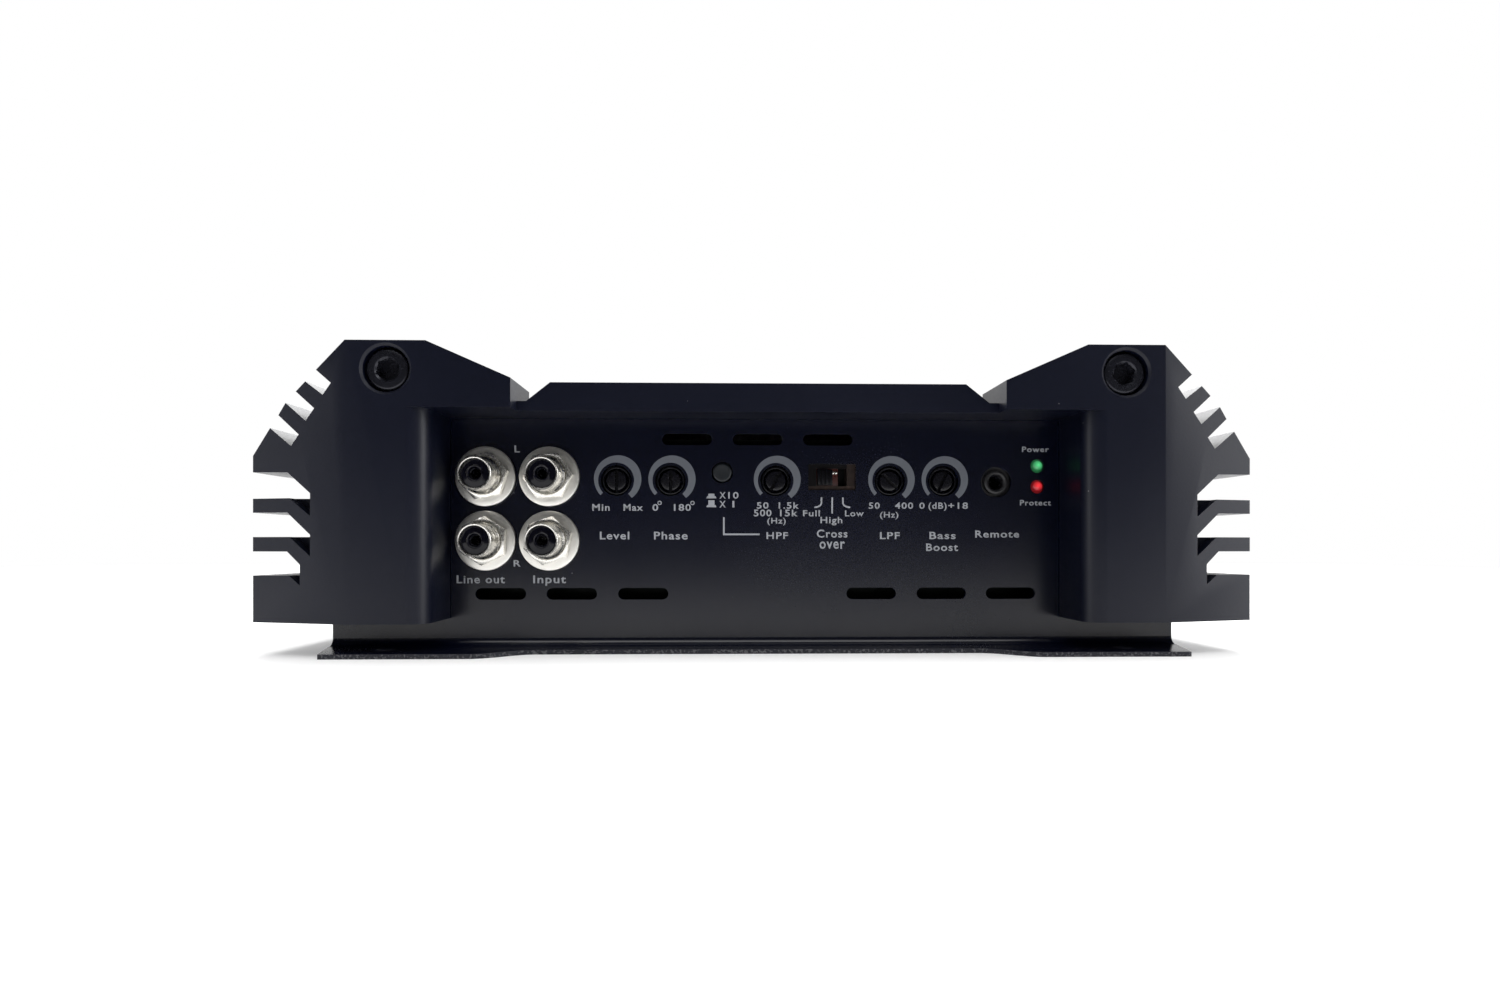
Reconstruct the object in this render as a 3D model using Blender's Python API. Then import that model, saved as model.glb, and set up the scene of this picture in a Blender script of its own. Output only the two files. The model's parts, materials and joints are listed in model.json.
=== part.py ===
"""Car audio amplifier: a finned heatsink over a steel chassis, closed by two cast end caps.

World frame: metres, +Z up. The control panel faces -Y, the wire terminals face +Y, and +X is
to the right of someone who faces the controls. The origin is the middle of the footprint, on
the surface that the feet stand on.

The shapes are drawn in millimetres, and make_object turns them into metres. Everything at one
end is drawn at the control end. The terminal end is the same thing turned half round about Z.
"""
import math

import bmesh
import bpy
from mathutils import Vector

MM = 0.001
GAP = 0.3                     # air kept between touching pieces

# Overall size
LENGTH = 300.0                # along Y, over both end caps
HALF_WIDTH = 123.0            # along X, to the fin tips
HEIGHT = 75.3                 # to the top of the ridges

# Planes across the length, at the control end
FRONT_Y = -LENGTH / 2         # face of the end cap, and front edge of the feet
PANEL_Y = FRONT_Y + 18.0      # face of the control panel, at the bottom of the recess
SHEET = 1.2                   # thickness of the chassis sheet
BODY_Y = PANEL_Y + SHEET + GAP   # end of the heatsink and of everything inside it
BOARD_Y = PANEL_Y + 14.0      # face of the upright control board

# Heights
CAP_BOTTOM_Z = 8.2
BAR_TOP_Z = 66.6              # top of the centre bar between the ridges
BAR_FOOT_Z = 62.0             # where the sloping ends of the bar stop
RECESS_TOP_Z = 59.6
TRAY_Z = 2.0                  # underside of the bottom tray

# End cap
BAR_SETBACK = 5.5             # the centre bar lies this far behind the face
HORN_X = 59.2                 # inner face of each raised horn
CREASE_X = 98.0               # outside this line the face leans back
CREASE_LEAN = 7.0             # how far it has gone back at the fin tips
RECESS_MOUTH_X = 84.0
RECESS_WALL_X = 79.0
MOUTH_R = 5.0                 # round edges at the mouth of the recess
CAP_SCREW_X, CAP_SCREW_Z = 88.5, 68.6
SCREW_HEAD_DEPTH = 1.2        # the screw heads lie this far below the face

# Right half of the end cap and heatsink outline as (x, z), from the ridge top down the side
RIDGE_TOP = [(79.1, HEIGHT), (97.9, HEIGHT)]
SIDE_OUTLINE = [
    (105.6, 68.6),
    (101.6, 65.3), (103.8, 62.6), (108.5, 66.0), (111.1, 63.7),      # slanted notch, slanted fin
    (106.1, 59.5), (108.4, 56.6), (113.9, 61.1), (115.9, 58.2),      # slanted notch, slanted fin
    (110.3, 53.4), (112.4, 50.7), (118.2, 55.2), (HALF_WIDTH, 48.6), # slanted notch, shoulder
    (HALF_WIDTH, 44.6), (113.4, 44.4), (107.2, 39.3), (107.2, 38.2), # level gap
    (HALF_WIDTH, 38.2), (HALF_WIDTH, 34.8),                          # level fin
    (113.5, 34.8), (107.2, 29.4), (107.2, 28.9),                     # level gap
    (HALF_WIDTH, 28.9), (HALF_WIDTH, 25.4),                          # level fin
    (113.5, 25.4), (110.0, 22.3), (110.0, 19.6),                     # level gap
    (HALF_WIDTH, 19.6), (HALF_WIDTH, CAP_BOTTOM_Z),                  # bottom block
]
# Blind three-cornered pockets in the cap's face, open at the top to each level gap
POCKETS = [
    [(113.0, 38.3), (107.2, 38.3), (107.2, 33.9)],
    [(113.0, 29.0), (107.2, 29.0), (107.2, 24.3)],
    [(113.1, 19.7), (110.0, 19.7), (110.0, 17.3)],
]
POCKET_DEPTH = 7.0            # behind the front plane

# Heatsink
CAVITY_X, CAVITY_Z = 101.0, 57.0      # inner walls and ceiling
CAVITY_CORNER = 7.0
CHANNEL_X, CHANNEL_Z = 63.0, 61.5     # sunken middle between the ridges
LEG_X, LEG_Z = 107.4, TRAY_Z + SHEET + GAP

# Chassis sheet
BEND_RADIUS = 2.0
PANEL_TOP_Z = 61.0
PANEL_HALF = 105.0            # behind the cap
STRIP_HALF = 108.9            # below the cap
FOOT_HALF = 104.3             # at the front edge
FOOT_WIDE_X, FOOT_NARROW_X = 69.0, 55.0
FOOT_CUT = 8.0                # the middle of the foot is this much shorter
FOOT_HOLE = (92.0, 8.5, 2.6)  # x, distance behind the front edge, radius

# Control panel layout: x, z
RCA_COLUMNS = {"line_out": -69.9, "input": -53.6}
RCA_ROWS = {"left": 44.6, "right": 28.1}
DIAL_Z = 43.7
DIALS = {                     # name: x, angle of the screwdriver slot
    "level": (-36.6, 90.0),
    "phase": (-22.6, 90.0),
    "hpf": (4.7, 62.0),
    "lpf": (34.5, 135.0),
    "bass_boost": (48.5, 65.0),
}
BUTTON = (-9.2, 45.8)
SLIDE = (19.4, 44.7)
REMOTE = (62.4, 43.4)
LEDS = {"power_led": (73.3, 47.7), "protect_led": (73.3, 42.3)}
SLOT_LENGTH, SLOT_HEIGHT = 13.0, 3.0
TOP_SLOTS = [(x, 54.4) for x in (-18.3, 0.0, 18.3)]
BOTTOM_SLOTS = [(side * x, 14.4) for side in (-1, 1) for x in (29.6, 48.0, 66.2)]

# Control sizes
RCA_BARREL_R, RCA_BORE_R = 4.15, 3.75
WASHER_R, WASHER_T = 7.75, 1.0
NUT_FLATS, NUT_T = 11.0, 2.4
SHAFT_R, DIAL_HOLE_R = 3.0, 4.0
BUTTON_R = 2.45
BUTTON_TRAVEL = 1.5
SLIDE_WINDOW = (12.4, 6.8)    # in the panel
SLIDE_MOUTH = (8.0, 4.6)      # in the switch, behind the window
SLIDE_STEP = 1.8              # from one of the three places to the next

# Terminal end layout, as seen facing the terminals: x from, x to, z from, z to
SPEAKER_BLOCK = (-74.0, -26.0, 18.0, 36.0)
POWER_BLOCK = (-8.0, 74.0, 16.0, 38.0)
SPEAKER_WAYS = [(x, 24.0, 3.2) for x in (-68.0, -56.0, -44.0, -32.0)]   # x, z, half width
POWER_WAYS = [(3.0, 24.0, 4.8), (19.0, 24.0, 4.8), (33.0, 24.0, 2.8)]
FUSE = (56.0, 26.0)
BLOCK_REACH = 11.0            # the blocks stand this far out of the panel
WAY_DEPTH = 13.0


# ---- outlines -------------------------------------------------------------------------------

def arc(x, z, radius, start, end, steps):
    """Points on a circle from one angle to another, in degrees."""
    angles = [math.radians(start + (end - start) * i / steps) for i in range(steps + 1)]
    return [(x + radius * math.cos(a), z + radius * math.sin(a)) for a in angles]


def circle(x, z, radius, steps=16):
    return arc(x, z, radius, 0, 360, steps)[:-1]


def rectangle(x0, x1, z0, z1):
    return [(x0, z0), (x1, z0), (x1, z1), (x0, z1)]


def stadium(x, z, length, height, steps=6):
    """A slot with round ends."""
    r = height / 2
    reach = length / 2 - r
    return arc(x + reach, z, r, -90, 90, steps) + arc(x - reach, z, r, 90, 270, steps)


def hexagon(x, z, flats, turn=0.0):
    return arc(x, z, flats / math.sqrt(3), turn, turn + 360, 6)[:-1]


def both_sides(right_half):
    """Mirror a right half outline, listed from the middle outwards, in the plane X = 0."""
    return right_half + [(-x, z) for x, z in reversed(right_half)]


# ---- solids ---------------------------------------------------------------------------------

def along(axis, a, b, c):
    """A point whose outline coordinates are a and b, and which lies at c along the axis."""
    return {"X": (c, a, b), "Y": (a, c, b), "Z": (a, b, c)}[axis]


def add_prism(bm, axis, outline, start, end):
    """A solid with the same outline all along one axis."""
    face = bm.faces.new([bm.verts.new(along(axis, a, b, start)) for a, b in outline])
    grown = bmesh.ops.extrude_face_region(bm, geom=[face])["geom"]
    moved = [v for v in grown if isinstance(v, bmesh.types.BMVert)]
    bmesh.ops.translate(bm, verts=moved, vec=along(axis, 0, 0, end - start))


def prism(axis, outline, start, end):
    bm = bmesh.new()
    add_prism(bm, axis, outline, start, end)
    return bm


def add_turned(bm, axis, profile, a, b, steps=16, closed=False):
    """A turned solid. The profile is (radius, distance along the axis), on an axis through a, b.

    An open profile starts and ends on the axis. A closed one makes a ring.
    """
    made = bmesh.new()
    verts = [made.verts.new(along(axis, radius, 0, c)) for radius, c in profile]
    ends = verts[1:] + verts[:1] if closed else verts[1:]
    edges = [made.edges.new(pair) for pair in zip(verts, ends)]
    bmesh.ops.spin(made, geom=verts + edges, cent=(0, 0, 0), axis=along(axis, 0, 0, 1),
                   angle=math.tau, steps=steps, use_merge=True)
    bmesh.ops.remove_doubles(made, verts=made.verts[:], dist=0.001)
    bmesh.ops.translate(made, verts=made.verts[:], vec=along(axis, a, b, 0))
    add_copy(bm, made)


def add_copy(bm, other):
    """Add another bmesh's shape to bm, and free the other one."""
    mesh = bpy.data.meshes.new("scratch")
    other.to_mesh(mesh)
    other.free()
    bm.from_mesh(mesh)
    bpy.data.meshes.remove(mesh)


def turned(axis, profile, a, b, steps=16, closed=False):
    bm = bmesh.new()
    add_turned(bm, axis, profile, a, b, steps, closed)
    return bm


def combined(body, tool, operation):
    """The body joined with or cut by the tool, as a new bmesh. Both inputs are freed."""
    pair = []
    for shape in (body, tool):
        bmesh.ops.recalc_face_normals(shape, faces=shape.faces[:])
        mesh = bpy.data.meshes.new("scratch")
        shape.to_mesh(mesh)
        shape.free()
        obj = bpy.data.objects.new("scratch", mesh)
        bpy.context.collection.objects.link(obj)
        pair.append(obj)
    boolean = pair[0].modifiers.new("combine", "BOOLEAN")
    boolean.operation = operation
    boolean.object = pair[1]
    result = bmesh.new()
    result.from_object(pair[0], bpy.context.evaluated_depsgraph_get())
    for obj in pair:
        mesh = obj.data
        bpy.data.objects.remove(obj)
        bpy.data.meshes.remove(mesh)
    bmesh.ops.remove_doubles(result, verts=result.verts[:], dist=0.002)
    return result


def cut(body, tool):
    return combined(body, tool, "DIFFERENCE")


def joined(body, tool):
    return combined(body, tool, "UNION")


# ---- objects --------------------------------------------------------------------------------

def finish(name, colour, roughness, metallic):
    """A plain Principled material."""
    material = bpy.data.materials.new(name)
    material.use_nodes = True
    shader = material.node_tree.nodes["Principled BSDF"]
    shader.inputs["Base Color"].default_value = (*colour, 1.0)
    shader.inputs["Roughness"].default_value = roughness
    shader.inputs["Metallic"].default_value = metallic
    return material


def make_object(name, bm, material, origin=(0, 0, 0), turn=(0, 0, 0), smooth=True):
    """Turn a shape in millimetres into a named object in metres.

    The shape is drawn in world axes. The origin becomes the object's own origin, and the
    object is then turned about it by the given angles in degrees.
    """
    bmesh.ops.recalc_face_normals(bm, faces=bm.faces[:])
    bmesh.ops.translate(bm, verts=bm.verts[:], vec=-Vector(origin))
    bmesh.ops.scale(bm, verts=bm.verts[:], vec=(MM, MM, MM))
    mesh = bpy.data.meshes.new(name)
    bm.to_mesh(mesh)
    bm.free()
    mesh.materials.append(material)
    if smooth:
        mesh.shade_smooth()
        mesh.set_sharp_from_angle(angle=math.radians(32))
    obj = bpy.data.objects.new(name, mesh)
    obj.location = Vector(origin) * MM
    obj.rotation_euler = [math.radians(a) for a in turn]
    bpy.context.collection.objects.link(obj)


HALF_TURN = (0, 0, 180)       # from the control end to the terminal end


def heatsink():
    """An extruded cover: two ridges, side fins, a sunken middle and the bay for the electronics."""
    top = [(CHANNEL_X, CHANNEL_Z), (CHANNEL_X, 67.9), (79.3, HEIGHT - 0.4), (97.7, HEIGHT - 0.4)]
    leg = [(LEG_X, CAP_BOTTOM_Z), (LEG_X, LEG_Z), (CAVITY_X, LEG_Z)]
    cavity = [(CAVITY_X, CAVITY_Z - CAVITY_CORNER), (CAVITY_X - CAVITY_CORNER, CAVITY_Z)]
    body = prism("Y", both_sides(top + SIDE_OUTLINE + leg + cavity), BODY_Y, -BODY_Y)
    holes = bmesh.new()
    for side in (-1, 1):
        for end in (-1, 1):
            reach = sorted((end * BODY_Y, end * (BODY_Y + 20)))
            add_prism(holes, "Y", circle(side * CAP_SCREW_X, CAP_SCREW_Z, 3.3, 16),
                      reach[0] - 1, reach[1] + 1)
            add_prism(holes, "Z", circle(side * 104.2, end * 100.0, 2.0, 12), 1.0, 14.0)
    make_object("heatsink", cut(body, holes), FINISHES["anodised"], smooth=False)


def end_cap_shape():
    """The cast arch that closes one end, with its deep recess round the panel."""
    bar = [(51.0, BAR_TOP_Z), (56.8, BAR_FOOT_Z), (HORN_X, BAR_FOOT_Z), (HORN_X, BAR_TOP_Z)]
    body = prism("Y", both_sides(bar + RIDGE_TOP + SIDE_OUTLINE), FRONT_Y, BODY_Y - GAP)
    tool = bmesh.new()
    # the face of the centre bar
    add_prism(tool, "Y", rectangle(-HORN_X, HORN_X, RECESS_TOP_Z - 3, HEIGHT),
              FRONT_Y - 1, FRONT_Y + BAR_SETBACK)
    for side in (-1, 1):
        # outer part of the face, leaning back
        outer = HALF_WIDTH + 1
        lean = CREASE_LEAN * (outer - CREASE_X) / (HALF_WIDTH - CREASE_X)
        add_prism(tool, "Z", [(side * CREASE_X, FRONT_Y), (side * CREASE_X, FRONT_Y - 2),
                              (side * outer, FRONT_Y - 2), (side * outer, FRONT_Y + lean)],
                  0, HEIGHT + 1)
        # counterbored screw hole with a chamfered mouth
        seat = FRONT_Y + SCREW_HEAD_DEPTH + 6.0 + GAP
        add_turned(tool, "Y", [(0, FRONT_Y - 1), (7.1, FRONT_Y - 1), (5.5, FRONT_Y + 0.6),
                               (5.5, seat), (3.3, seat), (3.3, BODY_Y), (0, BODY_Y)],
                   side * CAP_SCREW_X, CAP_SCREW_Z, 40)
    body = cut(body, tool)
    recess = bmesh.new()
    # the recess, with round mouth edges
    mouth = arc(RECESS_MOUTH_X, FRONT_Y + MOUTH_R, MOUTH_R, 270, 180, 10)
    half = [(RECESS_MOUTH_X, FRONT_Y - 1)] + mouth + [(RECESS_WALL_X, BODY_Y + 1)]
    add_prism(recess, "Z", both_sides(half), 0, RECESS_TOP_Z)
    body = cut(body, recess)
    rest = bmesh.new()
    # the rebate that the panel lies in
    edge = PANEL_HALF + GAP
    add_prism(rest, "Y", both_sides([(97.3, PANEL_TOP_Z + GAP), (edge, 53.2), (edge, 0)]),
              PANEL_Y - GAP, BODY_Y + 1)
    for side in (-1, 1):
        for corners in POCKETS:
            add_prism(rest, "Y", [(side * x, z) for x, z in corners],
                      FRONT_Y - 1, FRONT_Y + POCKET_DEPTH)
    return cut(body, rest)


def end_cap_screw_shape():
    """M6 socket head cap screw."""
    head = FRONT_Y + SCREW_HEAD_DEPTH
    body = turned("Y", [(0, head), (4.6, head), (5.0, head + 0.4), (5.0, head + 6.0),
                        (3.0, head + 6.0), (3.0, head + 30.0), (0, head + 30.0)], 0, 0)
    return cut(body, prism("Y", hexagon(0, 0, 5.0), head - 1, head + 3.0))


def end_caps():
    cap = end_cap_shape()
    make_object("front_end_cap", cap.copy(), FINISHES["black"], smooth=False)
    make_object("rear_end_cap", cap, FINISHES["black"], turn=HALF_TURN, smooth=False)
    screw = end_cap_screw_shape()
    for end, turn in (("front", (0, 0, 0)), ("rear", HALF_TURN)):
        for side, x in (("left", -CAP_SCREW_X), ("right", CAP_SCREW_X)):
            shape = screw.copy()
            bmesh.ops.translate(shape, verts=shape.verts[:], vec=(x, 0, CAP_SCREW_Z))
            make_object(f"{end}_cap_screw_{side}", shape, FINISHES["screw"], turn=turn)
    screw.free()


def end_sheet(tool):
    """A steel panel with a foot bent forward at its base, cut by the panel's own holes."""
    inner, outer = BEND_RADIUS, BEND_RADIUS + SHEET
    bend = PANEL_Y - BEND_RADIUS
    profile = [(FRONT_Y, 0)] + arc(bend, outer, outer, 270, 360, 6)
    profile = profile + [(PANEL_Y + SHEET, PANEL_TOP_Z), (PANEL_Y, PANEL_TOP_Z)]
    profile = profile + arc(bend, outer, inner, 360, 270, 6) + [(FRONT_Y, SHEET)]
    body = prism("X", profile, -STRIP_HALF, STRIP_HALF)
    for side in (-1, 1):
        trim = [(PANEL_HALF, CAP_BOTTOM_Z - 0.4), (STRIP_HALF + 1, CAP_BOTTOM_Z - 0.4),
                (STRIP_HALF + 1, PANEL_TOP_Z + 1), (97.0, PANEL_TOP_Z + 1), (97.0, PANEL_TOP_Z),
                (PANEL_HALF, 53.0)]
        add_prism(tool, "Y", [(side * x, z) for x, z in trim], PANEL_Y - 1, BODY_Y + 1)
        taper = [(STRIP_HALF, PANEL_Y - 2.5), (FOOT_HALF, FRONT_Y), (FOOT_HALF, FRONT_Y - 1),
                 (STRIP_HALF + 1, FRONT_Y - 1), (STRIP_HALF + 1, PANEL_Y - 2.5)]
        add_prism(tool, "Z", [(side * x, y) for x, y in taper], -1, 3)
        x, back, radius = FOOT_HOLE
        add_prism(tool, "Z", circle(side * x, FRONT_Y + back, radius, 28), -1, 3)
    # the shorter middle of the foot, reached by an S curve
    steps = 10
    curve = []
    for i in range(steps + 1):
        t = i / steps
        x = FOOT_NARROW_X + (FOOT_WIDE_X - FOOT_NARROW_X) * t
        curve.append((x, FRONT_Y + FOOT_CUT * (1 + math.cos(math.pi * t)) / 2 - 0.001))
    add_prism(tool, "Z", both_sides(curve + [(FOOT_WIDE_X, FRONT_Y - 1)]), -1, 3)
    return cut(body, tool)


def control_panel():
    tool = bmesh.new()
    holes = [(x, z, RCA_BARREL_R + 0.45) for x in RCA_COLUMNS.values() for z in RCA_ROWS.values()]
    holes += [(x, DIAL_Z, DIAL_HOLE_R) for x, _ in DIALS.values()]
    holes += [(*BUTTON, BUTTON_R + 0.35), (*REMOTE, 4.0)]
    holes += [(*spot, 1.8) for spot in LEDS.values()]
    for x, z, radius in holes:
        add_prism(tool, "Y", circle(x, z, radius, 32), PANEL_Y - 1, BODY_Y + 1)
    for x, z in TOP_SLOTS + BOTTOM_SLOTS:
        add_prism(tool, "Y", stadium(x, z, SLOT_LENGTH, SLOT_HEIGHT), PANEL_Y - 1, BODY_Y + 1)
    wide, high = SLIDE_WINDOW[0] / 2, SLIDE_WINDOW[1] / 2
    window = rectangle(SLIDE[0] - wide, SLIDE[0] + wide, SLIDE[1] - high, SLIDE[1] + high)
    add_prism(tool, "Y", window, PANEL_Y - 1, BODY_Y + 1)
    make_object("control_panel", end_sheet(tool), FINISHES["panel"], smooth=False)


def terminal_panel():
    tool = bmesh.new()
    for x0, x1, z0, z1 in (SPEAKER_BLOCK, POWER_BLOCK):
        window = rectangle(x0 - GAP, x1 + GAP, z0 - GAP, z1 + GAP)
        add_prism(tool, "Y", window, PANEL_Y - 1, BODY_Y + 1)
    for x, z in TOP_SLOTS:
        add_prism(tool, "Y", stadium(x, z, SLOT_LENGTH, SLOT_HEIGHT), PANEL_Y - 1, BODY_Y + 1)
    make_object("terminal_panel", end_sheet(tool), FINISHES["panel"], turn=HALF_TURN,
                smooth=False)


def bottom_tray():
    """A shallow steel pan under the bay, with four stand-offs for the main board."""
    wall_top = CAP_BOTTOM_Z - GAP
    half = [(STRIP_HALF, TRAY_Z), (STRIP_HALF, wall_top), (STRIP_HALF - SHEET, wall_top),
            (STRIP_HALF - SHEET, TRAY_Z + SHEET)]
    body = prism("Y", both_sides(half), BODY_Y, -BODY_Y)
    posts = bmesh.new()
    for x in (-88.0, 88.0):
        for y in (-95.0, 95.0):
            add_prism(posts, "Z", circle(x, y, 3.0, 12), TRAY_Z + SHEET / 2, 8.7)
    body = joined(body, posts)
    holes = bmesh.new()
    for x in (-104.2, 104.2):
        for y in (-100.0, 100.0):
            add_prism(holes, "Z", circle(x, y, 2.0, 12), TRAY_Z - 1, TRAY_Z + SHEET + 1)
    make_object("bottom_tray", cut(body, holes), FINISHES["panel"], smooth=False)
    for side, x in (("left", -104.2), ("right", 104.2)):
        for end, y in (("front", -100.0), ("rear", 100.0)):
            screw = turned("Z", [(0, 0.3), (3.0, 0.3), (3.4, 0.8), (3.4, TRAY_Z - GAP),
                                 (1.6, TRAY_Z - GAP), (1.6, 12.0), (0, 12.0)], x, y, 12)
            make_object(f"tray_screw_{end}_{side}", screw, FINISHES["screw"])


def top_plate():
    """A shallow channel that covers the sunken middle, in line with the end caps' centre bars."""
    top = BAR_TOP_Z - 0.3
    foot = CHANNEL_Z + GAP
    half = [(51.0, top), (56.8, foot), (54.2, foot), (50.2, top - 2.0)]
    outline = [(-x, z) for x, z in half[:2][::-1]] + half + [(-x, z) for x, z in half[2:][::-1]]
    make_object("top_plate", prism("Y", outline, BODY_Y, -BODY_Y), FINISHES["black"],
                smooth=False)


def rca_jacks():
    """Four panel jacks, each a threaded shell, an insulator, a hexagonal nut and a washer."""
    tip = PANEL_Y - GAP - WASHER_T - 9.5
    back = PANEL_Y + SHEET + GAP
    floor = BOARD_Y - 6.0
    outside = [(0, tip), (RCA_BARREL_R, tip), (RCA_BARREL_R, back), (6.5, back),
               (6.5, back + 1.5), (5.5, back + 1.5), (5.5, BOARD_Y - GAP), (0, BOARD_Y - GAP)]
    inside = [(0, tip - 1), (RCA_BORE_R, tip - 1), (RCA_BORE_R, floor), (0, floor)]
    core_r = RCA_BORE_R - GAP
    core = [(0, tip + 10.0), (1.5, tip + 10.0), (1.5, tip + 0.6), (core_r, tip + 0.6),
            (core_r, floor - GAP), (0, floor - GAP)]
    for line, x in RCA_COLUMNS.items():
        for row, z in RCA_ROWS.items():
            name = f"rca_{line}_{row}"
            shell = cut(turned("Y", outside, x, z), turned("Y", inside, x, z))
            make_object(f"{name}_shell", shell, FINISHES["nickel"])
            make_object(f"{name}_insulator", turned("Y", core, x, z, 12), FINISHES["black"])
            front = PANEL_Y - GAP - WASHER_T
            ring = [(4.6, front), (WASHER_R, front), (WASHER_R, front + WASHER_T),
                    (4.6, front + WASHER_T)]
            make_object(f"{name}_washer", turned("Y", ring, x, z, 20, closed=True),
                        FINISHES["nickel"])
            nut = prism("Y", hexagon(x, z, NUT_FLATS, 30), front - GAP - NUT_T, front - GAP)
            hole = prism("Y", circle(x, z, RCA_BARREL_R + 0.35), front - 5, front + 1)
            make_object(f"{name}_nut", cut(nut, hole), FINISHES["nickel"], smooth=False)


def dials():
    """Five panel potentiometers with screwdriver slots."""
    front = PANEL_Y + 4.5
    bore_end = PANEL_Y + 8.5
    tip = PANEL_Y + 0.5
    for name, (x, slot_angle) in DIALS.items():
        body = prism("Y", rectangle(x - 5.5, x + 5.5, DIAL_Z - 5.5, DIAL_Z + 5.5),
                     front, BOARD_Y - GAP)
        bore = prism("Y", circle(x, DIAL_Z, SHAFT_R + GAP), front - 1, bore_end)
        make_object(f"{name}_pot_body", cut(body, bore), FINISHES["black"], smooth=False)
        shaft = prism("Y", circle(x, DIAL_Z, SHAFT_R), tip, bore_end - GAP)
        slot = prism("Y", rectangle(x - 5, x + 5, DIAL_Z - 0.45, DIAL_Z + 0.45), tip - 1, tip + 1.2)
        make_object(f"{name}_pot_shaft", cut(shaft, slot), FINISHES["black"],
                    origin=(x, tip, DIAL_Z), turn=(0, -slot_angle, 0))


def slide_switch():
    """Three-position slide switch: a frame with a narrow mouth, and the knob that slides in it.

    The knob is drawn in its left place.
    """
    x, z = SLIDE
    back = PANEL_Y + SHEET + GAP
    frame = prism("Y", rectangle(x - 8.5, x + 8.5, z - 5, z + 5), back, back + 9.5)
    track = prism("Y", rectangle(x - 5.8, x + 5.8, z - 3.5, z + 3.5), back + 0.6, back + 5)
    wide, high = SLIDE_MOUTH[0] / 2, SLIDE_MOUTH[1] / 2
    mouth = prism("Y", rectangle(x - wide, x + wide, z - high, z + high), back - 1, back + 1)
    make_object("slide_switch_frame", cut(frame, joined(track, mouth)), FINISHES["steel"],
                smooth=False)
    left = x - SLIDE_STEP
    base = prism("Y", rectangle(left - 3.6, left + 3.6, z - 3.1, z + 3.1), back + 0.9, back + 3.2)
    knob = prism("Y", rectangle(left - 1.9, left + 1.9, z - 2.0, z + 2.0),
                 PANEL_Y - 0.3, back + 1.5)
    make_object("slide_switch_knob", joined(base, knob), FINISHES["black"],
                origin=(left, PANEL_Y, z), smooth=False)


def push_switch():
    """Latching push button that multiplies the high-pass range."""
    x, z = BUTTON
    front = PANEL_Y + 4.0
    body = prism("Y", rectangle(x - 4, x + 4, z - 4, z + 4), front, front + 9.0)
    bore = prism("Y", circle(x, z, BUTTON_R + GAP), front - 1, front + 5.0)
    make_object("push_switch_body", cut(body, bore), FINISHES["black"], smooth=False)
    end = front + 5.0 - BUTTON_TRAVEL - GAP
    button = turned("Y", [(0, PANEL_Y - 0.2), (2.2, PANEL_Y - 0.2), (BUTTON_R, PANEL_Y + 0.05),
                          (BUTTON_R, end), (0, end)], x, z)
    make_object("push_button", button, FINISHES["black"], origin=(x, PANEL_Y, z))


def remote_jack():
    """3.5 mm socket for a remote level control."""
    back = PANEL_Y + SHEET + GAP
    profile = [(0, PANEL_Y + 11), (2.0, PANEL_Y + 11), (2.0, PANEL_Y - 0.2), (3.1, PANEL_Y - 0.2),
               (3.1, back), (5.0, back), (5.0, BOARD_Y - GAP), (0, BOARD_Y - GAP)]
    make_object("remote_jack", turned("Y", profile, *REMOTE), FINISHES["black"])


def leds():
    """Two 3 mm indicator lamps with domed lenses."""
    for name, (x, z) in LEDS.items():
        dome = [(1.5 * math.cos(math.radians(a)), PANEL_Y + 0.6 - 1.5 * math.sin(math.radians(a)))
                for a in (90, 60, 30, 0)]
        dome[0] = (0, dome[0][1])
        back = PANEL_Y + SHEET + GAP
        profile = dome + [(1.5, back), (1.9, back), (1.9, back + 1), (1.5, back + 1),
                          (1.5, back + 5), (0, back + 5)]
        colour = "green_lens" if name == "power_led" else "red_lens"
        make_object(name, turned("Y", profile, x, z, 12), FINISHES[colour])


def boards():
    """The main board on the tray's stand-offs, and the upright board that holds the controls."""
    make_object("main_board", prism("Z", rectangle(-98, 98, -116, 126), 9.0, 10.6),
                FINISHES["board"], smooth=False)
    make_object("control_board", prism("Y", rectangle(-90, 90, 12, 56), BOARD_Y, BOARD_Y + 1.6),
                FINISHES["board"], smooth=False)


def power_parts():
    """What the amplifier needs inside: transformer, choke, smoothing capacitors, transistors."""
    floor = 10.6 + GAP
    ring = [(9.0, floor), (23.0, floor), (23.0, floor + 20), (9.0, floor + 20)]
    make_object("power_transformer", turned("Z", ring, 38, 40, 20, closed=True),
                FINISHES["copper"])
    ring = [(6.0, floor), (15.0, floor), (15.0, floor + 13), (6.0, floor + 13)]
    make_object("output_choke", turned("Z", ring, -45, 60, 16, closed=True), FINISHES["copper"])
    for index, y in enumerate((-30.0, 0.0), start=1):
        can = [(0, floor), (11.0, floor), (11.0, floor + 35), (0, floor + 35)]
        make_object(f"smoothing_capacitor_{index}", turned("Z", can, -45, y),
                    FINISHES["sleeve"])
    wall = CAVITY_X - GAP
    for side, name in ((-1, "left"), (1, "right")):
        row = prism("Y", rectangle(*sorted((side * (wall - 1.5), side * wall)), 12, 34), -84, 84)
        chips = bmesh.new()
        for i in range(6):
            y = -70 + 28 * i
            span = sorted((side * (wall - 4.5), side * (wall - 1.0)))
            add_prism(chips, "Y", rectangle(*span, 13, 33), y - 8, y + 8)
        make_object(f"{name}_transistor_row", joined(row, chips), FINISHES["black"],
                    smooth=False)


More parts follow.
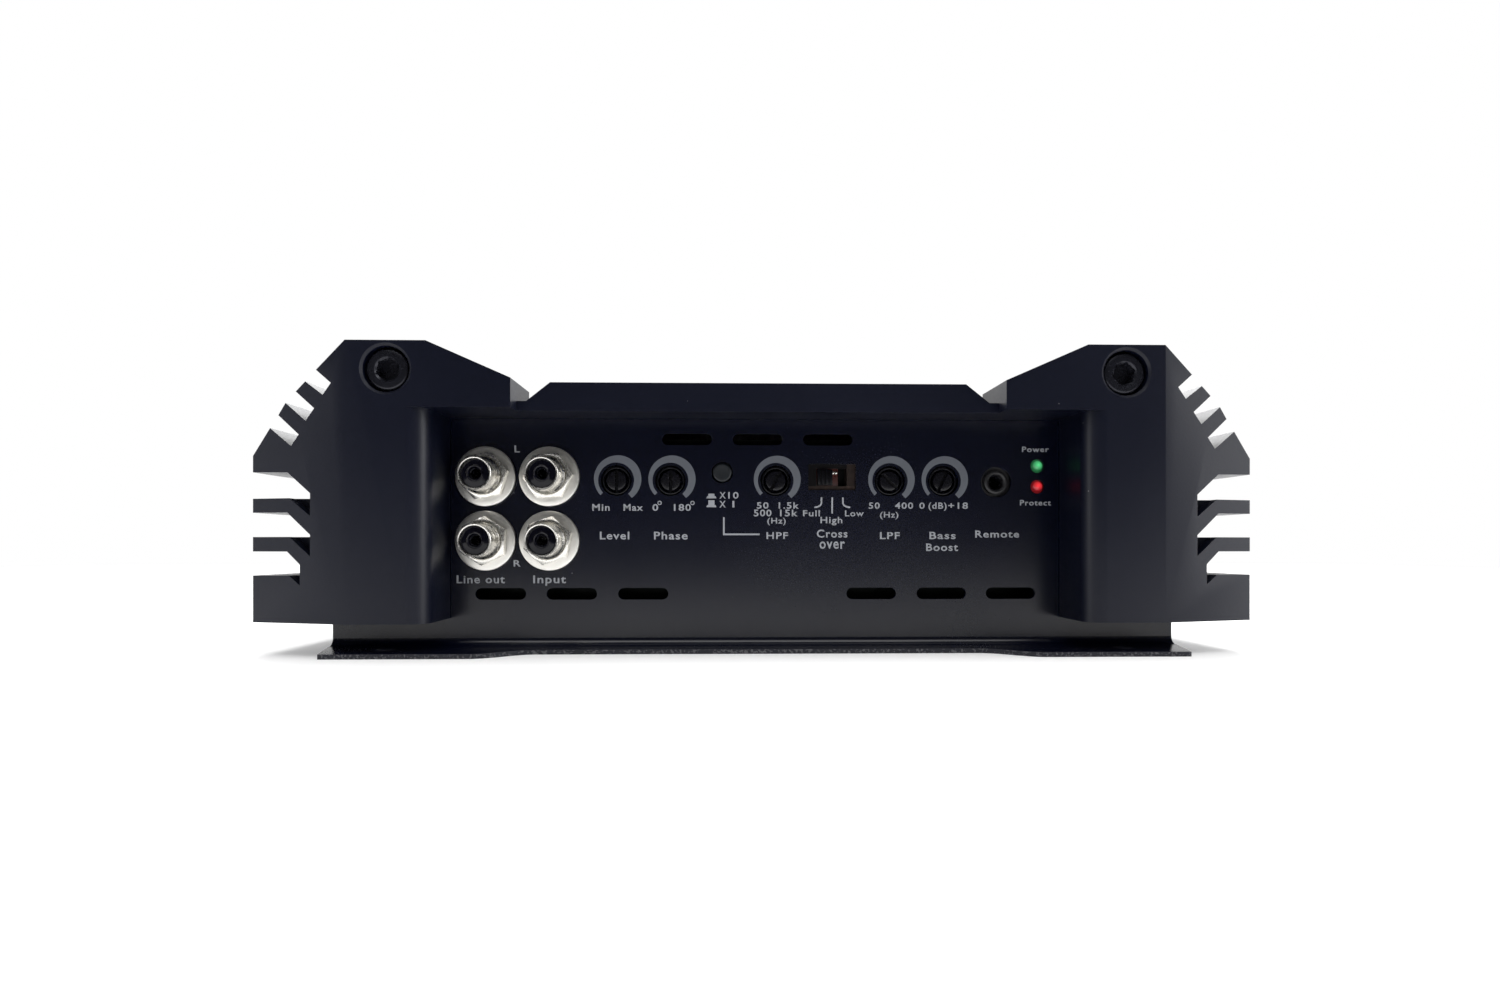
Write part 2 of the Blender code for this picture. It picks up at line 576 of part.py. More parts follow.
def terminal_blocks():
    """Screw terminals for the loudspeaker and supply wires, with a socket for the blade fuse."""
    face = PANEL_Y - BLOCK_REACH
    back = PANEL_Y + 10.0
    for name, block, ways in (("speaker_terminal_block", SPEAKER_BLOCK, SPEAKER_WAYS),
                              ("power_terminal_block", POWER_BLOCK, POWER_WAYS)):
        body = prism("Y", rectangle(*block), face, back)
        wires = bmesh.new()
        for x, z, half in ways:
            way = rectangle(x - half, x + half, z - half, z + half)
            add_prism(wires, "Y", way, face - 1, face + WAY_DEPTH)
        body = cut(body, wires)
        screws = bmesh.new()
        for x, z, half in ways:
            add_prism(screws, "Z", circle(x, face + 5.5, half * 0.8, 12), z, block[3] + 1)
        if name.startswith("power"):
            x, z = FUSE
            add_prism(screws, "Y", rectangle(x - 10, x + 10, z - 3, z + 3), face - 1, face + 12.3)
        make_object(name, cut(body, screws), FINISHES["black"], turn=HALF_TURN, smooth=False)
    x, z = FUSE
    plug = prism("Y", rectangle(x - 9.6, x + 9.6, z - 2.6, z + 2.6), face - 5, face + 4)
    blades = bmesh.new()
    for side in (-1, 1):
        blade = rectangle(*sorted((x + side * 4.3, x + side * 9.3)), z - 0.4, z + 0.4)
        add_prism(blades, "Y", blade, face + 3, face + 12)
    make_object("blade_fuse", joined(plug, blades), FINISHES["fuse"], turn=HALF_TURN,
                smooth=False)


for old in list(bpy.data.objects):
    bpy.data.objects.remove(old, do_unlink=True)

FINISHES = {
    "anodised": finish("black_anodised_aluminium", (0.016, 0.017, 0.022), 0.38, 0.6),
    "black": finish("satin_black_paint", (0.014, 0.015, 0.021), 0.42, 0.0),
    "panel": finish("black_coated_steel", (0.012, 0.013, 0.018), 0.5, 0.0),
    "screw": finish("black_oxide_steel", (0.02, 0.02, 0.022), 0.35, 0.9),
    "nickel": finish("nickel_plate", (0.72, 0.69, 0.62), 0.2, 1.0),
    "steel": finish("zinc_plated_steel", (0.55, 0.55, 0.55), 0.4, 1.0),
    "green_lens": finish("green_lens", (0.02, 0.5, 0.06), 0.15, 0.0),
    "red_lens": finish("red_lens", (0.6, 0.01, 0.01), 0.15, 0.0),
    "board": finish("green_circuit_board", (0.02, 0.11, 0.05), 0.5, 0.0),
    "copper": finish("enamelled_copper", (0.45, 0.16, 0.05), 0.35, 0.7),
    "sleeve": finish("capacitor_sleeve", (0.02, 0.03, 0.09), 0.35, 0.0),
    "fuse": finish("green_fuse_plastic", (0.05, 0.4, 0.1), 0.3, 0.0),
}

heatsink()
end_caps()
control_panel()
terminal_panel()
bottom_tray()
top_plate()
rca_jacks()
dials()
slide_switch()
push_switch()
remote_jack()
leds()
boards()
power_parts()
terminal_blocks()
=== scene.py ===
# %% [markdown]
# A car amplifier, seen from the end with its controls.
# The real one is a black extruded heatsink over a steel chassis, with a cast cap at each end.
# The part that is loaded here has every piece in its place and size, with sharp edges and no
# finish. This lesson gives the pieces their looks: it rounds their edges, models the small
# fittings again with more detail, and builds each finish out of shader nodes.

# %% Load the part
import json
import math

import bmesh
import bpy
from mathutils import Matrix, Vector


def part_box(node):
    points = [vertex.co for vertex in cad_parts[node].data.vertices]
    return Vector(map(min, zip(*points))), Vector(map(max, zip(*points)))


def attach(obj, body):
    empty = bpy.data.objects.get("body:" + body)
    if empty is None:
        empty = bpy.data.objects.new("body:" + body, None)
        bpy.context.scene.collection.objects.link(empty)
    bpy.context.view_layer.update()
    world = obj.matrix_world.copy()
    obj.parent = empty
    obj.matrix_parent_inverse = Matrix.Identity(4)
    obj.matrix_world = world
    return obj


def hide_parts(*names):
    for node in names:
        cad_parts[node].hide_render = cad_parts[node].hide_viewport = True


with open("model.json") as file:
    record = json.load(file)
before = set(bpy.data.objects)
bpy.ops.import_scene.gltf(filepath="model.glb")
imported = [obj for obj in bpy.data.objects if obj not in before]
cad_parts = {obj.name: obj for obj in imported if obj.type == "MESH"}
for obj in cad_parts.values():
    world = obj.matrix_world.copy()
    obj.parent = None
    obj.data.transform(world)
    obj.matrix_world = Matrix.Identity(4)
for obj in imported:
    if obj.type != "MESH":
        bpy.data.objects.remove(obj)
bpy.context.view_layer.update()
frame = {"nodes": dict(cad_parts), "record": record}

# %% [markdown]
# Everything is drawn in millimetres, the maker's own unit, and turned into metres when it is
# placed. Positions come from the part itself: the middle of a hole or a screw is the middle of
# the box round its node.

# %% Units and places
MM = 0.001


def box_mm(node):
    """Lowest and highest corner of a node, in millimetres."""
    low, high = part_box(node)
    return low / MM, high / MM


def middle(node):
    low, high = box_mm(node)
    return (low + high) / 2


FACE_Y = box_mm("front_end_cap")[0].y           # the face of the end cap
PANEL_Y = box_mm("push_button")[0].y + 0.2      # the face of the control panel
print(f"cap face at {FACE_Y:.1f} mm, panel face at {PANEL_Y:.1f} mm")

# %% [markdown]
# The camera stands low and close, less than a hand's width above the table and 20 cm from the
# face, and it looks a little to the right. A short lens takes the whole width in, and makes the
# sides of the recess and the jacks splay outwards. The horizon could be moved by tilting the
# camera, but the lens is shifted instead, because then uprights stay upright.

# %% Camera
EYE = Vector((-7.9, FACE_Y - 201.8, 26.5))      # in millimetres
TURN_RIGHT = 1.54                               # in degrees

camera = bpy.data.objects.new("camera", bpy.data.cameras.new("camera"))
bpy.context.scene.collection.objects.link(camera)
camera.data.sensor_width = 36.0
camera.data.lens = 20.33
camera.data.shift_y = 0.0313
camera.data.clip_start = 0.01
camera.location = EYE * MM
camera.rotation_euler = (math.radians(90), 0, math.radians(-TURN_RIGHT))
bpy.context.scene.camera = camera
bpy.context.scene.view_settings.view_transform = "Standard"
print("camera at", tuple(round(v, 4) for v in camera.location))

# %% [markdown]
# Patterns such as worn spots are sums over shader nodes. They could be wired node by node, but
# sums are easier to read than a web of boxes. This class wraps one socket, and each Python
# operator adds the Math node that does the same.


# %% A socket that can be calculated with
class Wire:
    def __init__(self, paint, socket):
        self.paint, self.socket = paint, socket

    def _maths(self, operation, first, second):
        return self.paint.node("ShaderNodeMath", {"operation": operation}, {0: first, 1: second})

    def __add__(self, other):
        return self._maths("ADD", self, other)

    def __radd__(self, other):
        return self._maths("ADD", other, self)

    def __sub__(self, other):
        return self._maths("SUBTRACT", self, other)

    def __rsub__(self, other):
        return self._maths("SUBTRACT", other, self)

    def __mul__(self, other):
        return self._maths("MULTIPLY", self, other)

    def __rmul__(self, other):
        return self._maths("MULTIPLY", other, self)

    def __gt__(self, other):
        return self._maths("GREATER_THAN", self, other)

    def __lt__(self, other):
        return self._maths("LESS_THAN", self, other)


print("a socket now takes part in sums with + - * < >")

# %% [markdown]
# A finish is one Principled shader with a few patterns plugged into it. All patterns read the
# object's own coordinates in metres, so a scale of 1000 repeats about every millimetre, and
# neighbouring pieces with the same finish match.


# %% A finish and its nodes
class Paint:
    def __init__(self, name, constants):
        self.material = bpy.data.materials.new(name)
        self.material.use_nodes = True
        self.tree = self.material.node_tree
        self.shader = self.tree.nodes["Principled BSDF"]
        self.fill(self.shader, constants)
        self.here = self.node("ShaderNodeTexCoord", {}, {}, "Object")

    def fill(self, node, values):
        """Give a node's sockets their values or links."""
        for key, value in values.items():
            socket = node.inputs[key]
            if isinstance(value, Wire):
                self.tree.links.new(value.socket, socket)
            elif socket.type == "RGBA":
                socket.default_value = (*value, 1.0)
            else:
                socket.default_value = value

    def node(self, kind, settings, values, output=0):
        """Add a node: its settings first, then its sockets. Returns one of its outputs."""
        made = self.tree.nodes.new(kind)
        for key, value in settings.items():
            setattr(made, key, value)
        self.fill(made, values)
        return Wire(self, made.outputs[output])

    def vary(self, values):
        """Plug patterns into the shader itself."""
        self.fill(self.shader, values)

    def noise(self, scale, detail=2.0, stretch=(1, 1, 1)):
        place = self.node("ShaderNodeMapping", {}, {"Vector": self.here, "Scale": stretch})
        return self.node("ShaderNodeTexNoise", {}, {"Vector": place, "Scale": scale,
                                                    "Detail": detail})

    def specks(self, spacing, size, keep):
        """A mask of small dots. Spacing and size are in millimetres, keep is the share kept."""
        settings = {"Vector": self.here, "Scale": 1 / (spacing * MM)}
        dot = self.node("ShaderNodeTexVoronoi", {}, settings, "Distance") < size / spacing
        lot = self.node("ShaderNodeTexVoronoi", {}, settings, "Color")
        chance = self.node("ShaderNodeSeparateColor", {}, {"Color": lot}, "Red") < keep
        return dot * chance

    def mixed(self, mask, plain, masked):
        return self.node("ShaderNodeMix", {"data_type": "RGBA"}, {0: mask, 6: plain, 7: masked}, 2)

    def bumps(self, height, depth):
        """Raise the surface by a pattern. Depth is in millimetres."""
        self.vary({"Normal": self.node("ShaderNodeBump", {}, {
            "Strength": 1.0, "Distance": depth * MM, "Height": height}, "Normal")})


def times(colour, factor):
    return tuple(channel * factor for channel in colour)


print("half of a mid grey:", times((0.5, 0.5, 0.5), 0.5))

# %% [markdown]
# The cast end caps carry a satin blue-black paint. Close up it has a fine orange-peel grain,
# faint cloudy patches where it shines more or less, and a few specks of dust that settled on
# it. An even colour would do from afar, but the dust and the grain tell the eye how big the
# thing is, so two noises and a scatter of dots make them. The steel sheet has a harder and
# glossier coat of the same kind.


# %% Paint and powder coat
DUST_COLOUR = (0.13, 0.13, 0.14)
DUST_SPACING, DUST_SIZE = 7.0, 0.16             # in millimetres


def coating(name, colour, roughness, gloss, grain, peel, dust):
    """A painted or powder-coated surface. Gloss is the strength of its mirror-like part."""
    paint = Paint(name, {"Specular IOR Level": gloss})
    clouds = paint.noise(22, 3.0)
    fine = paint.noise(grain, 2.0)
    tone = paint.mixed(clouds, times(colour, 0.82), times(colour, 1.18))
    speck = paint.specks(DUST_SPACING, DUST_SIZE, dust)
    paint.vary({"Base Color": paint.mixed(speck, tone, DUST_COLOUR),
                "Roughness": (clouds - 0.5) * 0.16 + (fine - 0.5) * 0.12 + roughness})
    paint.bumps(fine, peel)
    return paint


SHEET_LOOK = {"colour": (0.0008, 0.0018, 0.0100), "roughness": 0.24, "gloss": 0.46,
              "grain": 2600, "peel": 0.0035, "dust": 0.25}

CAP_PAINT = coating("satin_black_paint", (0.0018, 0.0030, 0.0115), 0.40, 0.34, 1500, 0.012, 0.5)
PANEL_COAT = coating("black_panel_coat", **SHEET_LOOK)
TOP_PAINT = coating("black_top_plate_paint", (0.0040, 0.0042, 0.0075), 0.38, 0.40, 2000, 0.010,
                    0.5)
print("paints:", CAP_PAINT.material.name, PANEL_COAT.material.name, TOP_PAINT.material.name)

# %% [markdown]
# The outer edge of each foot, close to the ground, carries a painted highlight: light specks
# from a noise break the coat up, only where the edge is, and stand in for the thin line of
# light along it.


# %% Steel sheet with a painted highlight on the foot edges
# colour of the painted highlight along the foot edges
EDGE_HIGHLIGHT_GREY = (0.085, 0.085, 0.092)
EDGE_Y, EDGE_TOP = 141.6 * MM, 1.1 * MM         # the edge is further out, and lower, than these


def sheet_coat():
    paint = coating("black_coated_sheet", **SHEET_LOOK)
    along = paint.node("ShaderNodeSeparateXYZ", {}, {"Vector": paint.here}, "Y")
    height = paint.node("ShaderNodeSeparateXYZ", {}, {"Vector": paint.here}, "Z")
    outer = ((along < -EDGE_Y) + (along > EDGE_Y)) * (height < EDGE_TOP)
    # painted highlight: light specks along the outer edge of each foot, close to the ground
    painted_edge_light = (paint.noise(1700, 4.0) > 0.56) * outer
    coat = Wire(paint, paint.shader.inputs["Base Color"].links[0].from_socket)
    paint.vary({"Base Color": paint.mixed(painted_edge_light, coat, EDGE_HIGHLIGHT_GREY)})
    return paint


SHEET_COAT = sheet_coat()
print("sheet:", SHEET_COAT.material.name)

# %% [markdown]
# Bare and plated metals. The heatsink is pressed through a die, which leaves fine lines along
# its length under the black anodising. Turned parts have finer marks, and nickel plate has a
# warm tint and small stains. One noise makes all these marks: stretched along the length it
# gives the die's lines, and squeezed it gives a lathe's.


# %% Metals
def metal(name, colour, roughness, grain, stretch, depth, stain, metallic=1.0, gloss=0.5):
    """A metal with a grain. Stretch is below 1 along the direction in which its marks run."""
    paint = Paint(name, {"Metallic": metallic, "Specular IOR Level": gloss})
    marks = paint.noise(grain, 3.0, stretch)
    stains = paint.noise(160, 4.0)
    paint.vary({"Base Color": paint.mixed(stains, colour, times(colour, stain)),
                "Roughness": (marks - 0.5) * 0.25 + (stains - 0.5) * 0.15 + roughness})
    paint.bumps(marks, depth)
    return paint


ANODISED = metal("black_anodised_aluminium", (0.010, 0.011, 0.017), 0.36, 900,
                 (1, 0.012, 1), 0.012, 0.7, metallic=0.0, gloss=0.4)
BLACK_SCREW = metal("black_oxide_steel", (0.022, 0.023, 0.032), 0.24, 1400, (1, 1, 1), 0.002,
                    0.7, metallic=0.5, gloss=0.5)
NICKEL = metal("nickel_plate", (0.90, 0.88, 0.83), 0.27, 1300, (1, 4, 1), 0.0008, 0.95)
WASHER_NICKEL = metal("satin_nickel_plate", (0.90, 0.88, 0.83), 0.36, 1300, (1, 4, 1), 0.001,
                      0.94)
FUSE_BLADE = metal("tinned_blade", (0.62, 0.62, 0.60), 0.3, 900, (1, 0.1, 1), 0.003, 0.9)
print("metals:", NICKEL.material.name, "and", ANODISED.material.name)

# %% [markdown]
# Moulded plastics are even in colour. What shows is the texture of the mould, and small
# differences in gloss where fingers and screwdrivers have been. So the colour hardly varies,
# and two noises go mostly into the roughness. The printed inks and the boards are of this kind.


# %% Plastics, inks and boards
def moulded(name, colour, roughness, grain=1800, depth=0.006, gloss=0.5, wear=0.9):
    paint = Paint(name, {"Specular IOR Level": gloss})
    texture = paint.noise(grain, 2.0)
    handled = paint.noise(140, 3.0)
    paint.vary({"Base Color": paint.mixed(handled, colour, times(colour, wear)),
                "Roughness": (handled - 0.5) * 0.18 + (texture - 0.5) * 0.08 + roughness})
    paint.bumps(texture, depth)
    return paint


JACK_BLACK = moulded("glossy_black_insulator", (0.003, 0.003, 0.007), 0.13, depth=0.0006,
                     gloss=0.24)
BLOCK_BLACK = moulded("black_terminal_plastic", (0.014, 0.014, 0.016), 0.42)
DIAL_BLACK = moulded("black_dial_plastic", (0.003, 0.003, 0.006), 0.24, gloss=0.42)
BUTTON_GREY = moulded("dark_grey_button", (0.010, 0.013, 0.017), 0.42)
KNOB_BLACK = moulded("black_knob_plastic", (0.002, 0.002, 0.004), 0.34, gloss=0.22)
SLIDER_BROWN = moulded("dark_red_slider", (0.085, 0.022, 0.018), 0.30)
BOARD_GREEN = moulded("dark_circuit_board", (0.0020, 0.0060, 0.0045), 0.45, grain=420,
                      depth=0.02, gloss=0.2)
SLEEVE_BLUE = moulded("capacitor_sleeve", (0.012, 0.020, 0.070), 0.24, depth=0.002)
CHIP_BLACK = moulded("transistor_plastic", (0.016, 0.016, 0.016), 0.55)
FUSE_GREEN = moulded("fuse_plastic", (0.04, 0.36, 0.10), 0.22, depth=0.002)
LETTER_INK = moulded("pale_panel_print", (0.42, 0.435, 0.47), 0.55, grain=2600, depth=0.003,
                     gloss=0.3, wear=0.86)
DIAL_INK = moulded("grey_dial_print", (0.155, 0.168, 0.195), 0.55, grain=2600, depth=0.003,
                   gloss=0.3, wear=0.88)
print("plastics:", JACK_BLACK.material.name, "to", DIAL_INK.material.name)

# %% [markdown]
# The slide switch has a frame of blackened steel. Its lower lip and its right end, where light
# falls through the mouth, are painted a lit brown. A second material on those faces would end in
# a hard line, so two steps over height and width mark the painted light, and a noise frays it.


# %% Slide switch frame
LIP_BELOW, END_BEYOND = 2.3 * MM, 4.0 * MM      # from the middle of the frame


def switch_finish():
    """A blackened steel frame, with a painted lit brown along its lower lip and its right end."""
    paint = Paint("blackened_switch_steel", {"Metallic": 0.3, "Specular IOR Level": 0.3})
    across = paint.node("ShaderNodeSeparateXYZ", {}, {"Vector": paint.here}, "X")
    height = paint.node("ShaderNodeSeparateXYZ", {}, {"Vector": paint.here}, "Z")
    centre = middle("slide_switch_frame") * MM
    # painted light: the lower lip and the right end are coloured a lit brown, the rest stays black
    lit_lip_and_end = (height < centre.z - LIP_BELOW) * 0.8 + (across > centre.x + END_BEYOND) * 0.45
    lit_patches = lit_lip_and_end * (paint.noise(900, 3.0) * 0.8 + 0.3)
    paint.vary({"Base Color": paint.mixed(lit_patches, (0.006, 0.005, 0.006), (0.105, 0.072, 0.060)),
                "Roughness": lit_patches * 0.10 + 0.36})
    paint.bumps(paint.noise(1500, 2.0), 0.004)
    return paint


SWITCH_STEEL = switch_finish()
print("switch:", SWITCH_STEEL.material.name)

# %% [markdown]
# The transformer and the choke are rings wound with enamelled copper wire. Hundreds of turns
# could be modelled, but they sit inside, where only a glimpse of them shows, so a wave pattern
# draws the turns as bands and raises them.


# %% Copper windings
def winding():
    """Enamelled wire wound round a ring: bands of light and dark, each wire wide."""
    paint = Paint("enamelled_copper", {"Metallic": 0.8, "Roughness": 0.35})
    wires = paint.node("ShaderNodeTexWave", {"wave_type": "BANDS", "bands_direction": "DIAGONAL"},
                       {"Vector": paint.here, "Scale": 120.0, "Distortion": 1.5})
    paint.vary({"Base Color": paint.mixed(wires, (0.14, 0.040, 0.012), (0.55, 0.20, 0.07))})
    paint.bumps(wires, 0.4)
    return paint


COPPER = winding()
print("windings:", COPPER.material.name)

# %% [markdown]
# A lit indicator lamp is brightest in the middle of its dome, where the chip sits, and deeper
# in colour towards the rim. Real light from a chip inside a clear dome would be slow and grainy.
# Instead the dome itself glows, and the glow fades with the distance from the chip.


# %% Lamps
GLOW_REACH, CHIP_RISE = 1.6 * MM, 0.3 * MM


def lamp_lens(name, node, dark, glow, strength):
    paint = Paint(name, {"Base Color": dark, "Roughness": 0.12, "Emission Strength": strength})
    x, _, z = middle(node) * MM
    chip = (x, box_mm(node)[0].y * MM, z + CHIP_RISE)
    reach = paint.node("ShaderNodeVectorMath", {"operation": "DISTANCE"},
                       {0: paint.here, 1: chip}, "Value")
    spot = (1 - reach * (1 / GLOW_REACH)) * (reach < GLOW_REACH)
    ripple = paint.noise(1500, 1.0) * 0.5 + 0.75
    paint.vary({"Emission Color": paint.mixed(spot * ripple, times(glow, 0.10), glow)})
    return paint


GREEN_LENS = lamp_lens("green_lamp_lens", "power_led", (0.01, 0.09, 0.03), (0.10, 0.66, 0.24),
                       1.1)
RED_LENS = lamp_lens("red_lamp_lens", "protect_led", (0.12, 0.006, 0.010), (0.90, 0.04, 0.05),
                     1.15)
print("materials so far:", len(bpy.data.materials))

# %% [markdown]
# Tools for solid shapes. A spun profile makes everything round, and a prism makes everything
# with the same outline all along. Two solids can be joined or cut, or keep only what they
# share. With these few, a fitting is built the way a lathe and a mill would make it.


# %% Spinning, extruding and cutting
def spun(profile, x=0.0, z=0.0, steps=64, closed=False):
    """Spin a profile of (radius, distance along Y) about a line through x and z.

    An open profile starts and ends on the axis. A closed one makes a ring.
    """
    bm = bmesh.new()
    verts = [bm.verts.new((radius, along, 0)) for radius, along in profile]
    ends = verts[1:] + verts[:1] if closed else verts[1:]
    edges = [bm.edges.new(pair) for pair in zip(verts, ends)]
    bmesh.ops.spin(bm, geom=verts + edges, cent=(0, 0, 0), axis=(0, 1, 0), angle=math.tau,
                   steps=steps, use_merge=True)
    bmesh.ops.remove_doubles(bm, verts=bm.verts[:], dist=1e-4)
    bmesh.ops.translate(bm, verts=bm.verts[:], vec=(x, 0, z))
    return bm


def prism(outline, start, end):
    """A solid with one outline of (x, z) from start to end along Y."""
    bm = bmesh.new()
    face = bm.faces.new([bm.verts.new((x, start, z)) for x, z in outline])
    grown = bmesh.ops.extrude_face_region(bm, geom=[face])["geom"]
    moved = [v for v in grown if isinstance(v, bmesh.types.BMVert)]
    bmesh.ops.translate(bm, verts=moved, vec=(0, end - start, 0))
    return bm


def block(x0, x1, y0, y1, z0, z1):
    return prism([(x0, z0), (x1, z0), (x1, z1), (x0, z1)], y0, y1)


def regular(sides, flats, x=0.0, z=0.0, turn=0.0):
    """Corners of a regular outline, measured across its flats."""
    radius = flats / 2 / math.cos(math.pi / sides)
    angles = [math.radians(turn) + math.tau * i / sides for i in range(sides)]
    return [(x + radius * math.cos(a), z + radius * math.sin(a)) for a in angles]


def combined(body, tool, operation):
    """Join the tool to the body, or cut the body with it, or keep what they share."""
    pair = []
    for bm in (body, tool):
        bmesh.ops.recalc_face_normals(bm, faces=bm.faces[:])
        mesh = bpy.data.meshes.new("scratch")
        bm.to_mesh(mesh)
        bm.free()
        obj = bpy.data.objects.new("scratch", mesh)
        bpy.context.scene.collection.objects.link(obj)
        pair.append(obj)
    boolean = pair[0].modifiers.new("combine", "BOOLEAN")
    boolean.operation = operation
    boolean.object = pair[1]
    result = bmesh.new()
    result.from_object(pair[0], bpy.context.evaluated_depsgraph_get())
    for obj in pair:
        mesh = obj.data
        bpy.data.objects.remove(obj)
        bpy.data.meshes.remove(mesh)
    bmesh.ops.remove_doubles(result, verts=result.verts[:], dist=1e-3)
    return result


def cut(body, tool):
    return combined(body, tool, "DIFFERENCE")


def joined(body, tool):
    return combined(body, tool, "UNION")


def shared(body, tool):
    return combined(body, tool, "INTERSECT")


def add_to(bm, other):
    """Put another shape into the same mesh, without joining their solids."""
    mesh = bpy.data.meshes.new("scratch")
    other.to_mesh(mesh)
    other.free()
    bm.from_mesh(mesh)
    bpy.data.meshes.remove(mesh)


hexagon = regular(6, 10.0)
print(f"a hexagon 10 mm across its flats is {2 * hexagon[0][0]:.2f} mm across its corners")

# %% [markdown]
# Every real edge is a little round and catches a thin line of light, and on a black object
# those lines are most of what can be seen. A bevel ends badly where flat faces are cut into
# many triangles. So flat faces are merged first, and then every edge where the surface turns by
# more than a given angle is bevelled.


# %% Rounding edges
def round_edges(bm, width, segments=2, sharper_than=30):
    """Round every edge where the surface turns by more than an angle."""
    bmesh.ops.recalc_face_normals(bm, faces=bm.faces[:])
    bmesh.ops.dissolve_limit(bm, angle_limit=math.radians(0.5), verts=bm.verts[:],
                             edges=bm.edges[:])
    limit = math.radians(sharper_than)
    sharp = [e for e in bm.edges if len(e.link_faces) == 2 and e.calc_face_angle() > limit]
    bmesh.ops.bevel(bm, geom=sharp, offset=width, offset_type="OFFSET", affect="EDGES",
                    segments=segments, profile=0.5, material=-1, clamp_overlap=True)
    return bm


cube = round_edges(block(0, 1, 0, 1, 0, 1), 0.1)
print("a rounded cube has", len(cube.faces), "faces")
cube.free()

# %% [markdown]
# Each finished shape becomes one piece: an object at the origin, in metres, which rides on the
# body that carries it. Where it is a finer version of a part that was loaded, it also says which
# one it stands for, so that the two are never shown together.


# %% Placing a finished piece
made = {}


def place(name, bm, paint, body="chassis", slot=None, stands_for=(), smooth=40, weighted=False):
    """Turn a shape in millimetres into a piece in metres that rides on a body."""
    bmesh.ops.remove_doubles(bm, verts=bm.verts[:], dist=1e-4)
    bmesh.ops.recalc_face_normals(bm, faces=bm.faces[:])
    bmesh.ops.scale(bm, verts=bm.verts[:], vec=(MM, MM, MM))
    mesh = bpy.data.meshes.new(name)
    bm.to_mesh(mesh)
    bm.free()
    mesh.materials.append(paint.material)
    mesh.shade_smooth()
    mesh.set_sharp_from_angle(angle=math.radians(smooth))
    obj = bpy.data.objects.new(name, mesh)
    bpy.context.scene.collection.objects.link(obj)
    if weighted:
        even = obj.modifiers.new("even shading", "WEIGHTED_NORMAL")
        even.keep_sharp = True
        even.weight = 100
    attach(obj, body)
    if stands_for:
        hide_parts(*stands_for)
    made[name] = obj
    return obj


# %% [markdown]
# The big castings, the extrusion and the sheet-metal parts already have the right shape.
# Modelling them again would add nothing but their soft edges. So each is copied, its loose
# triangles are merged into whole faces, and its edges are rounded by a few tenths of a
# millimetre: most on the castings, least on the thin sheet.


# %% Rounded copies of the large parts
def refined(name, node, paint, width, slot, sharper_than=30):
    """A copy of a node's shape with rounded edges, which stands for the node."""
    bm = bmesh.new()
    bm.from_mesh(frame["nodes"][node].data)
    bmesh.ops.remove_doubles(bm, verts=bm.verts[:], dist=1e-6)
    bmesh.ops.scale(bm, verts=bm.verts[:], vec=(1 / MM, 1 / MM, 1 / MM))
    round_edges(bm, width, 2, sharper_than)
    obj = place(name, bm, paint, slot=slot, stands_for=[node], smooth=60, weighted=True)
    print(f"{name}: {len(obj.data.polygons)} faces")
    return obj


refined("front_cap_casting", "front_end_cap", CAP_PAINT, 0.42, "cap_paint")
refined("rear_cap_casting", "rear_end_cap", CAP_PAINT, 0.42, "cap_paint")
refined("heatsink_extrusion", "heatsink", ANODISED, 0.25, "anodised_heatsink")
refined("control_panel_sheet", "control_panel", SHEET_COAT, 0.20, "coated_steel")
refined("terminal_panel_sheet", "terminal_panel", SHEET_COAT, 0.20, "coated_steel")
refined("bottom_tray_sheet", "bottom_tray", PANEL_COAT, 0.15, "coated_steel")
refined("top_plate_cover", "top_plate", TOP_PAINT, 0.3, "top_plate_paint")

# %% [markdown]
# Each phono jack has a thin nickel-plated barrel, rolled in at its tip, that swells into a short
# thread. Inside it sits a glossy black insulator, with a raised ring round the dark contact.
# All are round, so each is one spun profile. The thread is drawn as rings and not as a helix,
# because between a nut and a shoulder nobody can tell them apart.


# %% Barrel and insulator of a phono jack
THREAD_TURNS, THREAD_PITCH = 5, 0.72
THREAD_CREST, THREAD_ROOT = 4.72, 4.40          # radii, as are all first numbers of a profile
BARREL, BORE = 4.15, 3.68


def depths(node):
    """How far back a node starts and ends, in millimetres along Y."""
    low, high = box_mm(node)
    return low.y, high.y


def jack_barrel(node, x, z):
    tip, back = depths(f"{node}_shell")
    seat = depths(f"{node}_washer")[1]
    inner_end = depths(f"{node}_insulator")[1] + 0.1
    profile = [(0, back), (5.5, back), (5.5, seat + 3), (THREAD_ROOT, seat + 3)]
    for turn in range(THREAD_TURNS):
        along = seat - 0.1 - THREAD_PITCH * turn
        profile += [(THREAD_CREST, along), (THREAD_CREST, along - 0.12),
                    (THREAD_ROOT, along - 0.36), (THREAD_ROOT, along - 0.48)]
    collar = seat - 0.1 - THREAD_PITCH * THREAD_TURNS
    profile += [(4.68, collar), (4.68, collar - 0.55), (4.60, collar - 0.70),
                (4.34, collar - 0.95), (4.20, collar - 1.30), (BARREL, collar - 1.80),
                (BARREL, tip + 0.25), (4.13, tip + 0.09), (4.06, tip + 0.01), (3.88, tip),
                (3.74, tip + 0.06), (BORE, tip + 0.20), (BORE, inner_end), (0, inner_end)]
    place(f"{node}_barrel", spun(profile, x, z), NICKEL, slot="nickel_plate",
          stands_for=[f"{node}_shell"], smooth=32)


